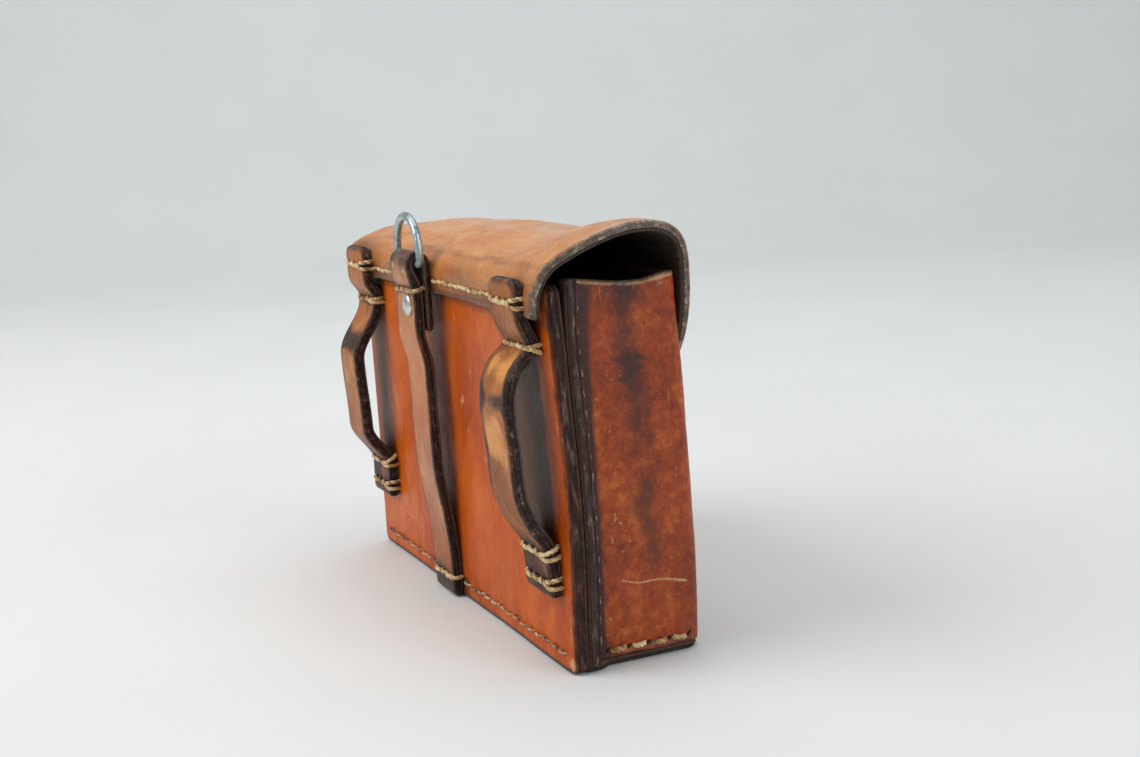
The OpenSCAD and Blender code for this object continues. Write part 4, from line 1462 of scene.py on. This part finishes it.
bar_half = (STUD_HI[2] - STUD_LO[2]) / 2
bar_w = (STUD_HI[0] - STUD_LO[0]) / 2
bar_t = 2.4
bar_in = STUD_LO[1] + bar_t
burr_in, burr_out = SBURR_LO[1], SBURR_HI[1]
bar_form = [
    (0.5, 0.0), (0.2, 0.08), (0.03, 0.3), (0, 0.55), (0, bar_t - 1.1), (0.1, bar_t - 0.75),
    (0.32, bar_t - 0.42), (0.7, bar_t - 0.17), (1.2, bar_t - 0.04), (1.7, bar_t),
]
burr_form = [(0.25, 0), (0.05, 0.1), (0, 0.3), (0, 0.7), (0.1, 0.9), (0.5, 1.0), (2.0, 1.0)]
fitting(
    "turn_stud_bar", BRASS, "turn_stud", "brass", "turn_stud",
    [
        (bar_half - bar_w, bar_w, bar_form, facing(0, bar_in, stud_z, -1, True)),
        (
            0, 2.0, [(0, 0), (0, 0.5), (0, 1)],
            facing(0, bar_in - 0.5, stud_z, STUD_HI[1] - bar_in + 0.5, True), 32,
        ),
    ],
)
fitting(
    "turn_stud_burr", BRASS, "turn_stud", "brass", "stud_burr",
    [(0, 4.2, burr_form, facing(0, burr_in, stud_z, burr_out - burr_in, True), 40)], inside_out=True,
)

plate_half = (PLATE_HI[0] - PLATE_LO[0]) / 2
plate_r = (PLATE_HI[2] - PLATE_LO[2]) / 2
plate_form = [(0, 0), (0, 0.3), (0.08, 0.47), (0.3, 0.58), (0.7, 0.6)]
fitting(
    "stud_plate_brass", BRASS, "case", "brass", "stud_plate",
    [(plate_half - plate_r, plate_r, plate_form, facing(0, PLATE_HI[1], stud_z, -1))],
)

PIN_X = 7
pin_end = box_mm("stud_plate_pins")[1][1]
pin_head = [(0, 0), (0, 0.12), (0.25, 0.32), (0.7, 0.46), (1.1, 0.5)]
pin_tail = [(0, 0), (0, 0.25), (0.3, 0.5), (0.9, 0.6)]
pins = []
for x in (-PIN_X, PIN_X):
    pins.append((0, 1.3, pin_head, facing(x, PLATE_LO[1] + 0.02, stud_z, -1), 24))
    pins.append(
        (0, 0.8, [(0, 0), (0, 1)], facing(x, pin_end - 0.2, stud_z, PLATE_LO[1] - (pin_end - 0.2)), 16)
    )
    pins.append((0, 1.6, pin_tail, facing(x, pin_end - 0.5, stud_z, 0.9, side=-1), 24))
fitting("stud_plate_pin_heads", BRASS, "case", "brass", "stud_plate_pins", pins)

# ---------------------------------------------------------------- stitching


def across(row, sheet, q, first, step, length, sway, lift, lean=0.0):
    """Three stitches side by side across a strap, at the length q."""
    for j in range(3):
        a = first + j * step
        start = (q - lean + jitter(rng, sway[0]), a)
        row.over(sheet, start, (q + lean + jitter(rng, sway[1]), a + length), lift)


row = Thread("back_bottom_stitches", 3, 0.25)
for a, b, z, t in low_row:
    row.over(panel, (z, a), (z + t, b), 0.22)
row.build(SEAM, "case", "back_bottom_thread")

row = Thread("end_bottom_stitches", 4, 0.49)
for a, b in end_row:
    for c, d in both_ends(a, b):
        row.over(wrap, (c, END_ROW + jitter(rng, 0.2)), (d, END_ROW + jitter(rng, 0.25)), 0.28)
row.build(LINEN, "case", "end_bottom_thread")

row = Thread("front_bottom_stitches", 5, 0.36)
for a, b in front_row:
    z = END_ROW + jitter(rng, 0.2)
    row.over(wrap, (a, z), (b, z + jitter(rng, 0.3)), 0.22)
row.build(LINEN, "case", "front_bottom_thread")

# the slanted awl holes between the bottom stitches: near-black tubes sunk in the leather, painted shade
# inside the holes
verts, faces = [], []
for a in holes:
    for c, side in ((a, 1), (plan_line.length - a, -1)):
        path = [
            wrap.point(c + side * f * 0.85, END_ROW + 0.1 + f * 0.7, -0.5 - 0.2 * abs(f))
            for f in (-1.0, -0.5, 0.0, 0.5, 1.0)
        ]
        tube(verts, faces, path, [0.12, 0.4, 0.5, 0.4, 0.12], 8)
dress(mesh_of("awl_holes", verts, faces), HOLE_SHADE, "case", "leather_edge", "body_wrap")

for side, node in (("near", "near_seam_thread"), ("far", "far_seam_thread")):
    row = Thread(side + "_seam_stitches", 6, 0.27)
    for a, b in row_between(SOLE_T + 3, WALL_H - 4, 5.3):
        s = 1.5 if side == "near" else plan_line.length - 1.5
        mid, size = (a + b) / 2, 1.25 + jitter(rng, 0.3)
        row.over(wrap, (s + jitter(rng, 0.2), mid - size), (s + jitter(rng, 0.2), mid + size), 0.12)
    row.build(SEAM, "case", node)

row = Thread("flap_seam_stitches", 7, 0.36)
for a, b, z, t in seam_row:
    row.over(flap, (flap_s(z), a), (flap_s(z + t), b), 0.3)
row.build(LINEN, "case", "flap_seam_thread")

for name, node in (("near_loop", "near_loop_thread"), ("far_loop", "far_loop_thread")):
    sheet = loops[name]
    line = near_line if name == "near_loop" else far_line
    row = Thread(name + "_stitches", 8, 0.42)
    for i, q in enumerate(loop_rows(line)):
        across(row, sheet, q, -5.4, 4.3, 3.6, (0.25, 0.25), 0.3, 0.55)
        # two strands that open in a V and wrap over the near edge
        spread = 0.6 if i == 2 else 1.15
        for d in (-spread, spread):
            edge = -near_half
            row.through(
                sheet,
                [
                    (q + 0.1 * d, -5.0, -1.2), (q + 0.15 * d, -5.3, 0.1), (q + 0.45 * d, -6.6, 0.45),
                    (q + 0.8 * d, edge + 0.5, 0.36), (q + 0.95 * d, edge - 0.40, -0.45),
                    (q + d, edge - 0.5, -1.7), (q + d, edge - 0.35, -3.0), (q + d, edge + 0.9, -4.1),
                ],
            )
    row.build(LINEN, "case", node)

row = Thread("strap_stitches", 9, 0.42)
for q in strap_rows:
    across(row, strap, q, -6.6, 4.7, 3.9, (0.25, 0.4), 0.32)
    # the last strand wraps over the near edge
    edge = -half_strap
    row.through(
        strap,
        [
            (q, -6.1, -1.2), (q, -6.4, 0.1), (q, -7.4, 0.45), (q, edge + 0.45, 0.36),
            (q + 0.1, edge - 0.12, -0.4), (q + 0.1, edge - 0.18, -1.5), (q, edge - 0.05, -2.8),
            (q, edge + 0.9, -3.6),
        ],
    )
row.build(LINEN, "case", "strap_thread")

row = Thread("tab_stitches", 10, 0.36)
for q in tab_rows:
    across(row, tab, q, -7.6, 5.3, 4.3, (0.2, 0.2), 0.28)
row.build(LINEN, "flap", "tab_thread")

# ---------------------------------------------------------------- floor, light and camera

STAGE = plain_look("studio_paper", 9, 4, 0.5, 0.75, [(0.35, (225, 226, 225)), (0.65, (228, 229, 228))])

# where the photographer stood, in mm, and the directions ahead and to the right of the view
cam_pos = np.array([-428.903, 167.774, 144.479])
cam_ahead = np.array([0.90155365, -0.39611123, -0.17406005])
cam_right = np.array([-0.41134753, -0.90943658, -0.06097796])
cam_right = cam_right / np.linalg.norm(cam_right)
cam_ahead = cam_ahead - cam_right * (cam_ahead @ cam_right)
cam_ahead = cam_ahead / np.linalg.norm(cam_ahead)
cam_up = np.cross(cam_right, cam_ahead)

# the floor runs away from the camera and curves up into the wall
COVE_D, COVE_R, STAGE_HALF = 900, 500, 2600
level = np.array([cam_ahead[0], cam_ahead[1], 0]) / np.hypot(cam_ahead[0], cam_ahead[1])
left = np.array([-level[1], level[0], 0])
cove = [
    (COVE_D + COVE_R * math.sin(a), COVE_R - COVE_R * math.cos(a))
    for a in np.linspace(0.15, math.pi / 2, 12)
]
outline = [(-1500, 0), (COVE_D, 0)] + cove + [(COVE_D + COVE_R, 2600)]
verts = [
    level * d + left * side + np.array([0, 0, h]) for d, h in outline for side in (-STAGE_HALF, STAGE_HALF)
]
faces = [[a + 2, a + 3, a + 1, a] for a in range(0, 2 * len(outline) - 2, 2)]
o = mesh_of("studio_floor", verts, faces)
o.data.materials.append(STAGE)
o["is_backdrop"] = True


def add_to_scene(name, data):
    o = bpy.data.objects.new(name, data)
    bpy.context.scene.collection.objects.link(o)
    return o


# name, place, aim, side, watts, colour
for name, place, aim, side, watts, colour in (
    ("window", (0.25, 0.95, 1.0), (0, 0, 0.05), 0.9, 11, (1.0, 0.985, 0.96)),
    ("overhead", (0.2, -0.2, 1.35), (0, 0, 0), 1.2, 7, (0.97, 0.99, 1.0)),
    ("fill", (-1.2, -0.5, 0.6), (0, 0, 0.05), 0.8, 4.5, (1.0, 0.99, 0.97)),
):
    d = bpy.data.lights.new(name, "AREA")
    d.shape, d.size, d.size_y = "RECTANGLE", side, side
    d.energy, d.color = watts, colour
    o = add_to_scene(name, d)
    o.location = place
    o.rotation_euler = (Vector(aim) - Vector(place)).to_track_quat("-Z", "Y").to_euler()

scene = bpy.context.scene
scene.world = bpy.data.worlds.new("studio")
scene.world.use_nodes = True
sky = scene.world.node_tree.nodes["Background"].inputs
sky[0].default_value = srgb(226, 232, 236)
sky[1].default_value = 0.45
scene.view_settings.view_transform = "Standard"

cam = bpy.data.cameras.new("camera")
cam.lens, cam.sensor_width, cam.sensor_fit = 50, 36, "HORIZONTAL"
cam.clip_start, cam.clip_end = 0.01, 20
o = add_to_scene("camera", cam)
columns = np.column_stack([cam_right, cam_up, -cam_ahead, cam_pos / 1000])
o.matrix_world = Matrix([*columns.tolist(), (0, 0, 0, 1)])
scene.camera = o

# ---------------------------------------------------------------- sizes and finish

bpy.context.view_layer.update()
size = {"cad": [list(v) for v in cad_bounds], "visual": [list(v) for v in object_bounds()]}
